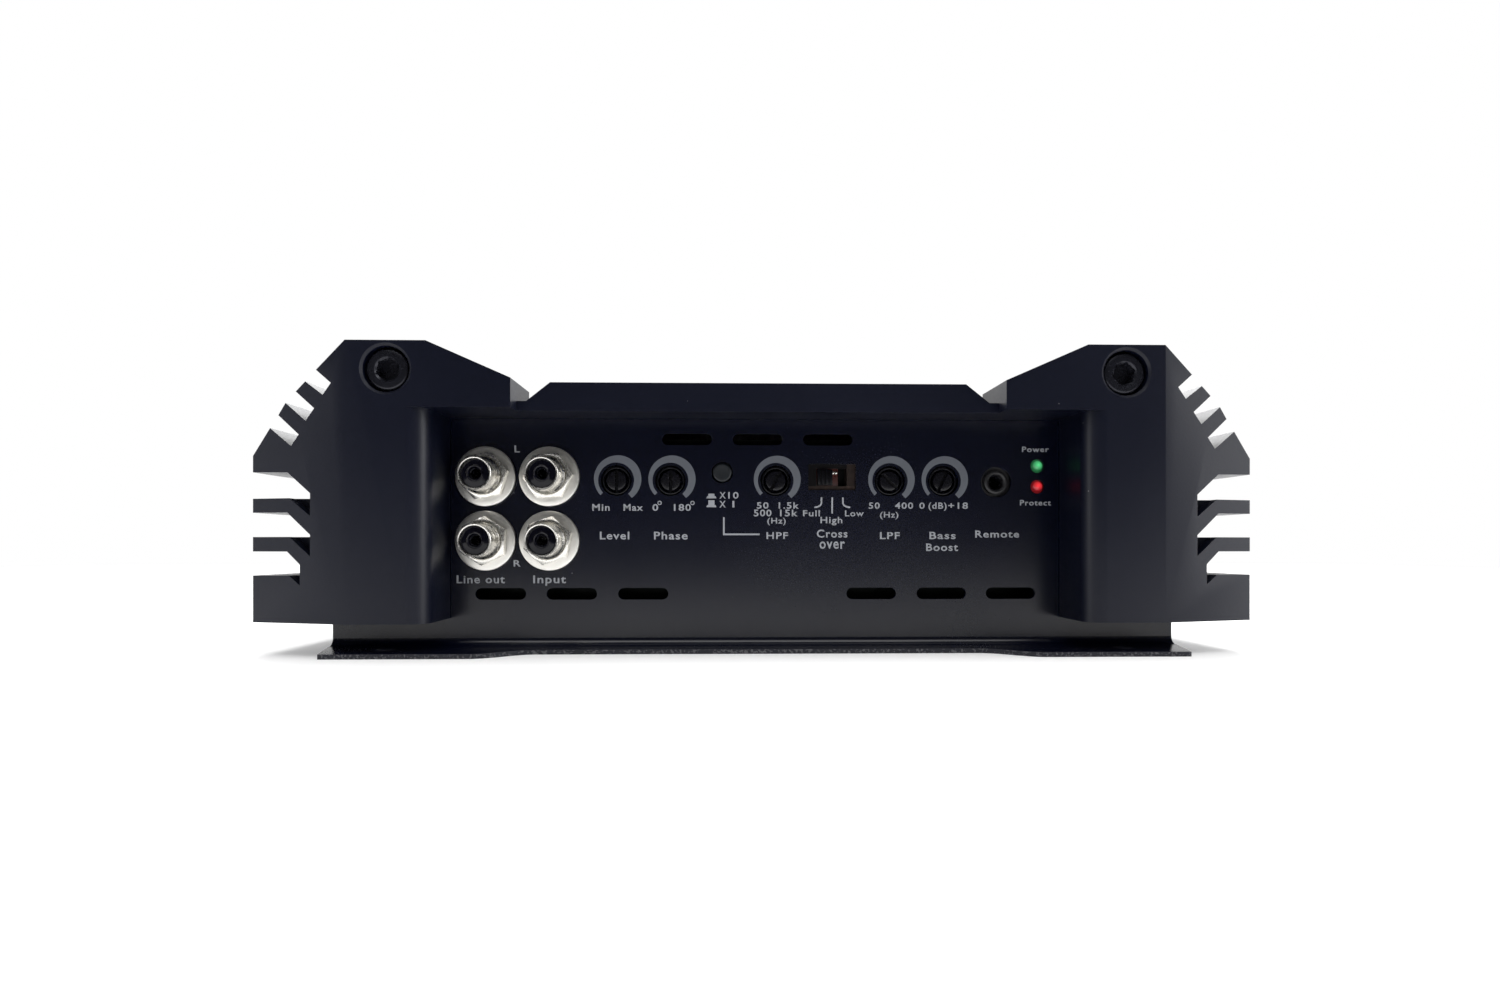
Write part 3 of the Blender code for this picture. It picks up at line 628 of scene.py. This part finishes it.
def jack_core(node, x, z):
    tip = depths(f"{node}_shell")[0]
    inner_end = depths(f"{node}_insulator")[1]
    profile = [(0, tip + 9), (1.48, tip + 9), (1.48, tip + 1.0), (1.56, tip + 0.55),
               (1.68, tip + 0.40), (1.84, tip + 0.36), (1.98, tip + 0.46), (2.04, tip + 0.70),
               (2.25, tip + 0.80), (3.35, tip + 0.80), (3.52, tip + 0.88), (3.61, tip + 1.05),
               (3.61, inner_end), (0, inner_end)]
    place(f"{node}_core", spun(profile, x, z), JACK_BLACK, slot="black_insulator",
          stands_for=[f"{node}_insulator"])
    sleeve = [(1.22, tip + 1.9), (1.44, tip + 1.7), (1.44, tip + 8.5), (1.22, tip + 8.5)]
    place(f"{node}_contact", spun(sleeve, x, z, 32, closed=True), BLACK_SCREW,
          slot="black_screw")


print("the thread is", THREAD_TURNS * THREAD_PITCH, "mm long")

# %% [markdown]
# A hexagonal nut clamps the barrel over a wide washer. The nut's corners are cut back to a cone,
# as on a lathe: the hexagonal prism keeps only what it shares with a spun cone, and a bore is
# cut out of it. A bevel could round the corners, but it wouldn't leave the curved facets that
# catch the light on a real nut. Each of the four nuts has stopped at an angle of its own.


# %% Washer and nut of a phono jack
NUT_FLATS, NUT_BORE = 11.0, 4.80
WASHER_RADIUS, WASHER_HOLE = 7.73, 4.86


def jack_washer(node, x, z):
    face, seat = depths(f"{node}_washer")
    profile = [(WASHER_HOLE, face + 0.1), (7.40, face), (7.62, face + 0.08),
               (WASHER_RADIUS, face + 0.35), (WASHER_RADIUS, seat - 0.2), (7.55, seat),
               (WASHER_HOLE, seat)]
    place(f"{node}_flat_washer", spun(profile, x, z, closed=True), WASHER_NICKEL,
          slot="nickel_plate", stands_for=[f"{node}_washer"])


def jack_nut(node, x, z, turn):
    face, back = depths(f"{node}_nut")
    nut = prism(regular(6, NUT_FLATS, x, z, turn), face, back)
    cone = [(0, face - 1), (5.05, face - 0.001), (5.5, face + 0.14), (6.6, face + 0.78),
            (6.6, back + 1), (0, back + 1)]
    bore = [(0, face - 1), (5.0, face - 1), (5.0, face + 0.05), (NUT_BORE, face + 0.35),
            (NUT_BORE, back + 1), (0, back + 1)]
    nut = cut(shared(nut, spun(cone, x, z)), spun(bore, x, z))
    place(f"{node}_hex_nut", round_edges(nut, 0.06, 1), NICKEL, slot="nickel_plate",
          stands_for=[f"{node}_nut"], smooth=25)


print(f"nut {NUT_FLATS} mm across its flats, washer {2 * WASHER_RADIUS:.1f} mm across")

# %% Four phono jacks
NUT_TURNS = {"line_out_left": 12.0, "input_left": 4.0, "line_out_right": 27.0,
             "input_right": 19.0}

for jack_name, nut_turn in NUT_TURNS.items():
    node = f"rca_{jack_name}"
    x, _, z = middle(f"{node}_shell")
    jack_barrel(node, x, z)
    jack_core(node, x, z)
    jack_washer(node, x, z)
    jack_nut(node, x, z, nut_turn)
print("jack pieces:", len([name for name in made if name.startswith("rca")]))

# %% [markdown]
# The five rotary controls are black shafts sunk just below the panel, each with a slot for a
# screwdriver. The shaft is spun, with a chamfered lip that draws a thin ring of light. The slot
# is cut with a solid, because a groove that was only painted on would stay flat when the shaft
# turns. A collar stands round each shaft, inside the hole in the panel.


# %% Rotary controls
SLOT_WIDTH, SLOT_DEPTH = 0.84, 1.2
COLLAR_HOLE = 3.12
SLOT_ANGLES = {"level": 90.0, "phase": 90.0, "hpf": 62.0, "lpf": 135.0, "bass_boost": 65.0}


def dial(name, slot_angle):
    x, _, z = middle(f"{name}_pot_shaft")
    front, back = depths(f"{name}_pot_shaft")
    shaft = spun([(0, front + 0.1), (2.30, front), (2.45, front + 0.05), (2.78, front + 0.5),
                  (2.88, front + 0.8), (2.88, back), (0, back)])
    shaft = cut(shaft, block(-4, 4, front - 1, front + SLOT_DEPTH,
                             -SLOT_WIDTH / 2, SLOT_WIDTH / 2))
    round_edges(shaft, 0.05, 1, 50)
    bmesh.ops.rotate(shaft, verts=shaft.verts[:], cent=(0, 0, 0),
                     matrix=Matrix.Rotation(-math.radians(slot_angle), 3, "Y"))
    bmesh.ops.translate(shaft, verts=shaft.verts[:], vec=(x, 0, z))
    place(f"{name}_slotted_shaft", shaft, DIAL_BLACK, body=f"{name}_dial", slot="dial_plastic",
          stands_for=[f"{name}_pot_shaft"], smooth=32)
    rim = PANEL_Y + 0.75
    rear = depths(f"{name}_pot_body")[0] + 0.3
    collar = [(COLLAR_HOLE, rim + 0.2), (3.20, rim + 0.05), (3.42, rim), (3.58, rim + 0.08),
              (3.64, rim + 0.25), (3.64, rear), (COLLAR_HOLE, rear)]
    place(f"{name}_collar", spun(collar, x, z, closed=True), DIAL_BLACK, slot="dial_plastic")


for dial_name, slot_angle in SLOT_ANGLES.items():
    dial(dial_name, slot_angle)
print("dials and their slots, in degrees:", SLOT_ANGLES)

# %% [markdown]
# The range button is a plain round key with a faintly hollow face, which takes one spun profile.

# %% Push button
x, _, z = middle("push_button")
front, back = depths("push_button")
key = [(0, front + 0.12), (1.5, front + 0.06), (2.0, front), (2.22, front + 0.05),
       (2.38, front + 0.2), (2.45, front + 0.45), (2.45, back), (0, back)]
place("range_button_key", spun(key, x, z), BUTTON_GREY, body="range_button",
      slot="button_plastic", stands_for=["push_button"])
print(f"button {2 * key[5][0]:.1f} mm across, face at {front:.2f} mm")

# %% [markdown]
# The slide switch has a brown carrier behind its mouth, with two small contact studs, and a
# black knob with ridges for a fingernail. The ridges could be a bump pattern, but their shadows
# are as deep as they are high, so they are blocks that are joined to the knob.

# %% Slide switch
RIDGES, RIDGE_WIDTH = (-1.6, -0.55, 0.5, 1.55), 0.5

x, _, z = middle("slide_switch_knob")
front, back = depths("slide_switch_knob")
carrier_face = back - 2.3
knob = block(x - 1.9, x + 1.9, front + 0.45, carrier_face, z - 2.0, z + 2.0)
for ridge in RIDGES:
    knob = joined(knob, block(x + ridge - RIDGE_WIDTH / 2, x + ridge + RIDGE_WIDTH / 2,
                              front, front + 1, z - 1.9, z + 1.9))
place("slide_knob", round_edges(knob, 0.08, 2), KNOB_BLACK, body="crossover_knob",
      slot="knob_plastic", stands_for=["slide_switch_knob"])
carrier = block(x - 3.6, x + 3.6, carrier_face, back, z - 3.1, z + 3.1)
place("slide_carrier", round_edges(carrier, 0.15, 2), SLIDER_BROWN, body="crossover_knob",
      slot="knob_plastic")
stud = [(0, carrier_face - 0.16), (0.28, carrier_face - 0.12), (0.4, carrier_face),
        (0, carrier_face)]
contacts = spun(stud, x + 2.3, z + 1.3, 16)
add_to(contacts, spun(stud, x + 3.1, z + 1.3, 16))
place("slide_contacts", contacts, NICKEL, body="crossover_knob", slot="nickel_plate")
print(f"knob at x {x:.1f} mm with {len(RIDGES)} ridges")

# %% [markdown]
# The remote socket has a rounded mouth and a contact ring a little way in. It is a hole that
# the light hardly enters, so a deep spun profile does what a flat black disc could not: its
# mouth shines and its inside doesn't.

# %% Remote socket
x, _, z = middle("remote_jack")
back = depths("remote_jack")[1]
mouth = PANEL_Y - 0.2
socket = [(0, mouth + 11), (1.85, mouth + 11), (1.85, mouth + 1.1), (1.95, mouth + 0.4),
          (2.2, mouth + 0.08), (2.5, mouth), (2.8, mouth + 0.05), (3.05, mouth + 0.25),
          (3.1, mouth + 0.5), (3.1, PANEL_Y + 1.5), (5.0, PANEL_Y + 1.5), (5.0, back), (0, back)]
place("remote_socket", spun(socket, x, z), BLOCK_BLACK, slot="black_plastic",
      stands_for=["remote_jack"])
ring = [(1.62, mouth + 2.6), (1.80, mouth + 2.3), (1.80, mouth + 9), (1.62, mouth + 9)]
place("remote_contact", spun(ring, x, z, 32, closed=True), BLACK_SCREW, slot="black_screw")
print("socket hole:", 2 * socket[1][0], "mm")

# %% [markdown]
# The two lamps are 3 mm domes of coloured plastic with a collar behind the panel. The dome is a
# quarter circle in the profile, one point for every ten degrees.

# %% Lamps in the panel
LAMP_RADIUS = 1.5

for lamp, paint, colour in (("power_led", GREEN_LENS, "green_lens"),
                            ("protect_led", RED_LENS, "red_lens")):
    x, _, z = middle(lamp)
    front, back = depths(lamp)
    dome = [(LAMP_RADIUS * math.sin(math.radians(a)),
             front + LAMP_RADIUS * (1 - math.cos(math.radians(a)))) for a in range(0, 91, 10)]
    dome += [(LAMP_RADIUS, PANEL_Y + 1.5), (1.9, PANEL_Y + 1.5), (1.9, PANEL_Y + 2.5),
             (LAMP_RADIUS, PANEL_Y + 2.5), (LAMP_RADIUS, back), (0, back)]
    place(lamp.replace("led", "lamp"), spun(dome, x, z, 40), paint, slot=colour,
          stands_for=[lamp])
    print(f"{lamp}: stands {PANEL_Y - front:.1f} mm out of the panel")

# %% [markdown]
# Two cap screws hold each end cap. Their heads sit just inside the counterbores, so the rim of
# the head and the hexagonal socket show. The head is spun, then the socket and its chamfer are
# cut out, because only a real hole goes as dark as this one. The screws at the rear are the same
# shape, turned half round.


# %% Cap screws
SOCKET_FLATS, SOCKET_DEPTH = 5.0, 3.0
HEAD_RADIUS = 5.0


def cap_screw(node):
    x, y, z = middle(node)
    low, high = box_mm(node)
    head = low.y if y < 0 else -high.y
    screw = spun([(0, head), (4.3, head), (4.7, head + 0.12), (4.93, head + 0.35),
                  (HEAD_RADIUS, head + 0.7), (HEAD_RADIUS, head + 6.0), (3.0, head + 6.0),
                  (3.0, head + 30.0), (0, head + 30.0)])
    screw = cut(screw, prism(regular(6, SOCKET_FLATS, turn=18.0), head - 1,
                             head + SOCKET_DEPTH))
    screw = cut(screw, spun([(0, head - 1), (3.25, head - 0.2), (2.6, head + 0.42),
                             (0, head + 0.42)]))
    round_edges(screw, 0.06, 1, 50)
    if y > 0:
        bmesh.ops.rotate(screw, verts=screw.verts[:], cent=(0, 0, 0),
                         matrix=Matrix.Rotation(math.pi, 3, "Z"))
    bmesh.ops.translate(screw, verts=screw.verts[:], vec=(x, 0, z))
    place(f"{node}_socket_head", screw, BLACK_SCREW, slot="black_screw", stands_for=[node])


print(f"cap screw: head {2 * HEAD_RADIUS} mm, socket {SOCKET_FLATS} mm across its flats")

# %% [markdown]
# Four small pan-head screws hold the tray. Each is spun lying down, as everything here is, gets
# a cross cut into its head by two thin bars, and is then stood up with its head below.


# %% Tray screws
def tray_screw(node):
    x, y, _ = middle(node)
    low, high = box_mm(node)
    screw = spun([(0, low.z), (1.8, low.z + 0.08), (2.8, low.z + 0.4), (3.3, low.z + 0.95),
                  (3.4, low.z + 1.4), (1.6, low.z + 1.4), (1.6, high.z), (0, high.z)], steps=40)
    for turn in (0, 90):
        arm = prism(regular(4, 1.0), low.z - 1, low.z + 0.9)
        bmesh.ops.scale(arm, verts=arm.verts[:], vec=(2.6, 1, 0.5))
        bmesh.ops.rotate(arm, verts=arm.verts[:], cent=(0, 0, 0),
                         matrix=Matrix.Rotation(math.radians(turn), 3, "Y"))
        screw = cut(screw, arm)
    bmesh.ops.rotate(screw, verts=screw.verts[:], cent=(0, 0, 0),
                     matrix=Matrix.Rotation(math.pi / 2, 3, "X"))
    bmesh.ops.translate(screw, verts=screw.verts[:], vec=(x, y, 0))
    place(f"{node}_pan_head", screw, BLACK_SCREW, slot="black_screw", stands_for=[node])


for node in sorted(frame["nodes"]):
    if "cap_screw" in node:
        cap_screw(node)
    if "tray_screw" in node:
        tray_screw(node)
print("screws:", len([name for name in made if "screw" in name]))

# %% [markdown]
# The wires go into two plastic blocks at the other end. Each way has a square metal clamp just
# inside its mouth, and a slotted set screw that comes down on the wire from above. Their places
# could be typed in, but every way is already listed as an opening of the part, so the clamps
# and screws follow those boxes.

# %% Terminal blocks
for block_name, ways in (("speaker", 4), ("power", 3)):
    node = f"{block_name}_terminal_block"
    refined(f"{block_name}_block_body", node, BLOCK_BLACK, 0.25, "black_plastic")
    outer = box_mm(node)[1].y
    top = box_mm(node)[1].z
    for number in range(1, ways + 1):
        way = next(opening["box_m"] for opening in frame["record"]["physics"]["openings"]
                   if opening["name"] == f"{block_name}_wire_way_{number}")
        low, high = Vector(way[0]) / MM, Vector(way[1]) / MM
        x, z, half = (low.x + high.x) / 2, (low.z + high.z) / 2, (high.x - low.x) / 2 + 0.2
        clamp = prism(regular(4, 2 * half, x, z, 45), outer - 12, outer - 0.9)
        clamp = cut(clamp, prism(regular(4, 2 * half - 1.2, x, z, 45), outer - 13, outer))
        place(f"{block_name}_clamp_{number}", round_edges(clamp, 0.12, 2), NICKEL,
              slot="nickel_plate")
        reach = half * 0.8 - 0.15
        screw = spun([(0, 1.2), (reach - 0.3, 1.2), (reach, 1.5), (reach, top - z - half),
                      (0, top - z - half)], steps=40)
        screw = cut(screw, block(-half, half, 0, 2.2, -0.45, 0.45))
        round_edges(screw, 0.05, 1, 50)
        bmesh.ops.rotate(screw, verts=screw.verts[:], cent=(0, 0, 0),
                         matrix=Matrix.Rotation(-math.pi / 2, 3, "X"))
        bmesh.ops.translate(screw, verts=screw.verts[:], vec=(x, outer - 5.5, top))
        place(f"{block_name}_set_screw_{number}", screw, NICKEL, slot="nickel_plate")
    print(f"{block_name} block: {ways} ways")

# %% [markdown]
# A blade fuse stands in the power block: a body of coloured plastic, thinner in the middle, with
# two flat tinned blades. Plastic and metal need a finish each, so the blades are a piece of
# their own, and both blades share it.

# %% Blade fuse
low, high = box_mm("blade_fuse")
x, z = (low.x + high.x) / 2, (low.z + high.z) / 2
body = block(low.x, high.x, high.y - 9, high.y, low.z, high.z)
for side in (-1, 1):
    hollow = sorted((z + side * 1.7, z + side * 4.0))
    body = cut(body, block(x - 5.5, x + 5.5, high.y - 5.0, high.y - 1.2, *hollow))
place("fuse_body", round_edges(body, 0.35, 3), FUSE_GREEN, slot="fuse_plastic",
      stands_for=["blade_fuse"])
blades = None
for side in (-1, 1):
    sides = sorted((x + side * 4.3, x + side * 9.3))
    blade = round_edges(block(*sides, low.y, high.y - 8, z - 0.4, z + 0.4), 0.2, 1)
    if blades is None:
        blades = blade
    else:
        add_to(blades, blade)
place("fuse_blades", blades, FUSE_BLADE, slot="nickel_plate")
print(f"fuse {high.x - low.x:.0f} mm wide")

# %% [markdown]
# The rest of the loaded parts keep their shapes. They sit inside, or just behind a hole, where
# finer shapes wouldn't show, so they only need their finish.

# %% Finishes of the inner parts
INNER = {
    BLOCK_BLACK: [f"{name}_pot_body" for name in SLOT_ANGLES] + ["push_switch_body"],
    SWITCH_STEEL: ["slide_switch_frame"],
    BOARD_GREEN: ["main_board", "control_board"],
    COPPER: ["power_transformer", "output_choke"],
    SLEEVE_BLUE: ["smoothing_capacitor_1", "smoothing_capacitor_2"],
    CHIP_BLACK: ["left_transistor_row", "right_transistor_row"],
}
for paint, nodes in INNER.items():
    for node in nodes:
        frame["nodes"][node].material_slots[0].material = paint.material
print("inner parts finished:", sum(len(nodes) for nodes in INNER.values()))

# %% [markdown]
# The panel is printed in pale grey ink. The print could be an image, but an image blurs when
# the camera comes close. So each word is set in Blender's own font, a little fattened and
# spaced, and made a thin solid that stands 0.02 mm proud.


# %% Words as solids
PRINT_FACE, PRINT_BACK = PANEL_Y - 0.022, PANEL_Y + 0.015
FATTENED, LETTER_SPACING = 0.017, 1.14          # for letters of size 1


def word_shape(text):
    """A word as a flat mesh, with its baseline on the X axis."""
    curve = bpy.data.curves.new("scratch", "FONT")
    curve.body = text
    curve.size = 1.0
    curve.offset = FATTENED
    curve.space_character = LETTER_SPACING
    curve.resolution_u = 3
    curve.extrude = 0.5
    obj = bpy.data.objects.new("scratch", curve)
    bpy.context.scene.collection.objects.link(obj)
    mesh = bpy.data.meshes.new_from_object(
        obj.evaluated_get(bpy.context.evaluated_depsgraph_get()))
    bpy.data.objects.remove(obj)
    bpy.data.curves.remove(curve)
    bm = bmesh.new()
    bm.from_mesh(mesh)
    bpy.data.meshes.remove(mesh)
    bmesh.ops.remove_doubles(bm, verts=bm.verts[:], dist=1e-4)
    return bm


def span(bm, axis):
    values = [vert.co[axis] for vert in bm.verts]
    return min(values), max(values)


def height_of(letter):
    bm = word_shape(letter)
    tall = span(bm, 1)[1]
    bm.free()
    return tall


CAPITAL, SMALL = height_of("H"), height_of("x")
print(f"of size 1, a capital is {CAPITAL:.3f} high and a small x {SMALL:.3f}")

# %% [markdown]
# Every word is then scaled until its height and its length are those of the real print, as a
# sign writer would fit it. The print is planned line by line, from the top down. It keeps only
# the usual names of the controls and their ranges.


# %% Lettering
MOST_STRETCH = 1.6


def printed(text, x, base, tall, wide):
    """A word centred on x, standing on a baseline, in millimetres."""
    bm = word_shape(text)
    left, right = span(bm, 0)
    letter = SMALL if text == "over" else CAPITAL
    stretch = min(wide / (right - left), MOST_STRETCH * tall / letter)
    bmesh.ops.translate(bm, verts=bm.verts[:], vec=(-(left + right) / 2, 0, 0))
    bmesh.ops.scale(bm, verts=bm.verts[:],
                    vec=(stretch, tall / letter, PRINT_BACK - PRINT_FACE))
    bmesh.ops.rotate(bm, verts=bm.verts[:], cent=(0, 0, 0),
                     matrix=Matrix.Rotation(math.pi / 2, 3, "X"))
    bmesh.ops.translate(bm, verts=bm.verts[:], vec=(x, (PRINT_BACK + PRINT_FACE) / 2, base))
    return bm


# Baseline and letter height of a line, then each of its words with its middle and its length.
LINES = (
    (51.4, 1.35, (("Power", 72.8, 7.1),)),
    (50.9, 1.75, (("L", -62.0, 1.4),)),
    (39.1, 1.65, (("X", -9.1, 1.6), ("10", -6.3, 2.7))),
    (37.4, 1.40, (("Protect", 72.8, 8.2),)),
    (36.8, 1.65, (("X", -9.1, 1.6), ("1", -6.3, 1.2))),
    (36.5, 1.60, (("50", 1.3, 3.1), ("1.5k", 8.1, 5.3), ("50", 30.4, 2.9), ("400", 38.2, 4.8),
                  ("0", 42.9, 1.4), ("(dB)", 47.0, 4.8), ("+18", 52.4, 5.2))),
    (35.9, 1.70, (("Min", -40.5, 4.5), ("Max", -32.2, 5.0), ("0", -26.5, 1.5),
                  ("180", -19.5, 4.4))),
    (34.5, 1.70, (("500", 1.3, 4.6), ("15k", 8.1, 4.6))),
    (34.5, 1.55, (("Full", 14.0, 4.4), ("Low", 25.2, 4.9))),
    (34.2, 1.45, (("(Hz)", 34.3, 4.8),)),
    (32.7, 1.65, (("High", 19.2, 5.7),)),
    (32.6, 1.45, (("(Hz)", 4.9, 4.8),)),
    (29.0, 2.00, (("Cross", 19.4, 8.0),)),
    (29.0, 1.80, (("Remote", 62.7, 11.6),)),
    (28.6, 1.75, (("HPF", 5.1, 5.6), ("LPF", 34.5, 5.2))),
    (28.6, 1.85, (("Bass", 48.3, 6.9),)),
    (28.5, 1.95, (("Level", -37.0, 7.6), ("Phase", -22.5, 8.7))),
    (26.1, 1.80, (("over", 19.4, 6.6),)),
    (25.5, 1.90, (("Boost", 48.2, 8.4),)),
    (21.5, 1.60, (("R", -62.0, 1.8),)),
    (17.2, 2.00, (("Line out", -71.3, 12.3), ("Input", -53.7, 8.4))),
)
letters = bmesh.new()
for base, tall, words in LINES:
    for text, x, wide in words:
        add_to(letters, printed(text, x, base, tall, wide))
lettering = place("control_lettering", letters, LETTER_INK, slot="coated_steel", smooth=20)
print("words printed:", sum(len(line[2]) for line in LINES), "in",
      len(lettering.data.polygons), "faces")

# %% [markdown]
# The print also has lines and marks: two degree rings, a bracket that ties the range button to
# its filter, three ticks that lead from the slide switch to its three settings, and a raised and
# a lowered button. The ticks bend, so each is an outline that keeps an even width along a path.
# The rest is made of blocks, prisms and flat spun rings.


# %% Printed lines
STROKE = 0.44
TICK_TOP, TICK_END, TICK_WIDTH = 39.4, 35.2, 0.42
BEND_ASIDE, BEND_DOWN = 1.9, 1.2


def ribbon(path, width):
    """The outline of a line of even width along a path of (x, z)."""
    points = [Vector(point) for point in path]
    edges = ([], [])
    for i, point in enumerate(points):
        run = (points[min(i + 1, len(points) - 1)] - points[max(i - 1, 0)]).normalized()
        across = Vector((-run.y, run.x)) * width / 2
        edges[0].append(tuple(point + across))
        edges[1].append(tuple(point - across))
    return edges[0] + edges[1][::-1]


def bend(x, side):
    """From below the switch, straight down, then round to one side."""
    turn = [(x + side * BEND_ASIDE * (1 - math.cos(math.radians(a))),
             38.0 - BEND_DOWN * math.sin(math.radians(a))) for a in range(0, 91, 15)]
    return [(x, TICK_TOP)] + turn


left, bottom = -9.0, 29.55
marks = joined(block(left, left + STROKE, PRINT_FACE, PRINT_BACK, bottom, 34.2),
               block(left, 0.5, PRINT_FACE, PRINT_BACK, bottom, bottom + STROKE))
for path in (bend(16.6, -1), bend(22.2, 1), [(19.4, TICK_TOP), (19.4, TICK_END)]):
    add_to(marks, prism(ribbon(path, TICK_WIDTH), PRINT_FACE, PRINT_BACK))
for x in (-25.4, -16.9):
    add_to(marks, spun([(0.33, PRINT_FACE), (0.56, PRINT_FACE), (0.56, PRINT_BACK),
                        (0.33, PRINT_BACK)], x, 37.9, 24, closed=True))
print("lines drawn, now", len(marks.faces), "faces")

# %% Printed buttons
KEY_X, LEDGE = -12.0, 0.55
for base, top in ((39.1, 40.3), (36.8, 38.6)):
    right_half = [(1.3, base), (1.1, base + LEDGE), (0.8, base + LEDGE), (0.8, top)]
    outline = [(KEY_X + x, z) for x, z in right_half]
    outline += [(KEY_X - x, z) for x, z in reversed(right_half)]
    add_to(marks, prism(outline, PRINT_FACE, PRINT_BACK))
place("control_marks", marks, LETTER_INK, slot="coated_steel", smooth=20)
print("marks:", len(made["control_marks"].data.polygons), "faces")

# %% [markdown]
# Round each dial runs a grey crescent, thin where the scale starts and thick where it ends. A
# ring would be even all round, so the outer disc is set a little to the upper right of the dial.
# A disc round the dial and a wedge below it are then cut away.

# %% Printed crescents
CRESCENT_WIDTH, CRESCENT_HOLE, CRESCENT_SHIFT = 12.2, 9.24, 0.4
WEDGE_ANGLES = (-137, -92, -48)

crescents = bmesh.new()
for name in SLOT_ANGLES:
    x, _, z = middle(f"{name}_pot_shaft")
    disc = prism(regular(96, CRESCENT_WIDTH, x + CRESCENT_SHIFT, z + CRESCENT_SHIFT),
                 PRINT_FACE, PRINT_BACK)
    disc = cut(disc, prism(regular(96, CRESCENT_HOLE, x, z), PRINT_FACE - 1, PRINT_BACK + 1))
    wedge = [(x, z)] + [(x + 14 * math.cos(math.radians(a)), z + 14 * math.sin(math.radians(a)))
                        for a in WEDGE_ANGLES]
    add_to(crescents, cut(disc, prism(wedge, PRINT_FACE - 1, PRINT_BACK + 1)))
place("dial_crescents", crescents, DIAL_INK, slot="coated_steel", smooth=20)
print("crescents:", len(SLOT_ANGLES))

# %% [markdown]
# The floor is a plain pale sheet that glows a little, so that it looks almost white. It ends
# just behind the camera, because the glossy panel mirrors what lies in front of it, and a floor
# without an end would turn the black panel grey.

# %% Floor
FLOOR_HALF, FLOOR_MIDDLE = (0.90, 0.63, 1.0), (0, 0.26, 0)      # in metres

floor_bm = bmesh.new()
bmesh.ops.create_grid(floor_bm, x_segments=1, y_segments=1, size=1.0)
bmesh.ops.scale(floor_bm, verts=floor_bm.verts[:], vec=FLOOR_HALF)
bmesh.ops.translate(floor_bm, verts=floor_bm.verts[:], vec=FLOOR_MIDDLE)
floor_mesh = bpy.data.meshes.new("floor")
floor_bm.to_mesh(floor_mesh)
floor_bm.free()
floor = bpy.data.objects.new("floor", floor_mesh)
bpy.context.scene.collection.objects.link(floor)
FLOOR_PAINT = Paint("pale_floor", {"Base Color": (0.80, 0.80, 0.80), "Roughness": 0.9,
                                   "Specular IOR Level": 0.0,
                                   "Emission Color": (1.0, 1.0, 1.0),
                                   "Emission Strength": 0.28})
floor_mesh.materials.append(FLOOR_PAINT.material)
floor_end = (FLOOR_MIDDLE[1] - FLOOR_HALF[1]) / MM
print(f"floor ends at {floor_end:.0f} mm, camera at {EYE.y:.0f} mm")

# %% [markdown]
# A black glossy object mostly shows what it reflects, so the room is dim in front of it and
# bright behind it. An even room would be simpler, but it would fill the recess with grey. The
# camera itself always sees the room as white.

# %% Room light
DIM_ROOM, BRIGHT_ROOM = 0.06, 1.0
DIM_UNTIL, BRIGHT_FROM = -0.25, 0.35            # how far a ray points backwards, from -1 to 1

world = bpy.data.worlds.new("studio")
world.use_nodes = True
bpy.context.scene.world = world
room = world.node_tree
background = room.nodes["Background"]
ray = room.nodes.new("ShaderNodeLightPath")
way = room.nodes.new("ShaderNodeTexCoord")
split = room.nodes.new("ShaderNodeSeparateXYZ")
depth = room.nodes.new("ShaderNodeMapRange")
depth.inputs["From Min"].default_value = DIM_UNTIL
depth.inputs["From Max"].default_value = BRIGHT_FROM
depth.inputs["To Min"].default_value = DIM_ROOM
depth.inputs["To Max"].default_value = BRIGHT_ROOM
seen = room.nodes.new("ShaderNodeMath")
seen.operation = "MAXIMUM"
room.links.new(way.outputs["Generated"], split.inputs["Vector"])
room.links.new(split.outputs["Y"], depth.inputs["Value"])
room.links.new(depth.outputs["Result"], seen.inputs[0])
room.links.new(ray.outputs["Is Camera Ray"], seen.inputs[1])
room.links.new(seen.outputs["Value"], background.inputs["Strength"])
background.inputs["Color"].default_value = (1.0, 1.0, 1.0, 1.0)
print("room strength from", DIM_ROOM, "to", BRIGHT_ROOM)

# %% [markdown]
# Softboxes light the object: one at each side, one above it, one high up in front, which the
# deep recess shades more and more towards its top, and one behind, which draws the top edges
# and lights the inner sides of the horns. Area lights do this better than points or a sun,
# because a bright plane leaves a long soft highlight on paint and plated metal.


# %% Softboxes
def softbox(name, place_m, size, power, aim=(0, -0.1, 0.04)):
    """A rectangular area light that points at the amplifier, or at another place."""
    light = bpy.data.lights.new(name, "AREA")
    light.shape = "RECTANGLE"
    light.size, light.size_y = size
    light.energy = power
    obj = bpy.data.objects.new(name, light)
    obj.location = place_m
    toward = Vector(aim) - obj.location
    obj.rotation_euler = toward.to_track_quat("-Z", "Y").to_euler()
    bpy.context.scene.collection.objects.link(obj)
    print(f"{name}: {power} W over {size[0]} x {size[1]} m")


softbox("right_softbox", (1.10, -0.30, 0.34), (0.55, 0.80), 7.5)
softbox("left_softbox", (-1.10, -0.30, 0.34), (0.50, 0.70), 2.4)
softbox("top_softbox", (0.0, 0.25, 1.10), (1.3, 0.9), 14.0)
softbox("high_front_softbox", (0.10, -0.62, 0.95), (1.3, 0.5), 5.5)
softbox("back_softbox", (0.0, 1.15, 0.80), (1.8, 0.7), 14.0, aim=(0, 0.45, 0))

# %% [markdown]
# Last comes a count of the pieces that were made.

# %% Pieces made
print("pieces made:", len(made))
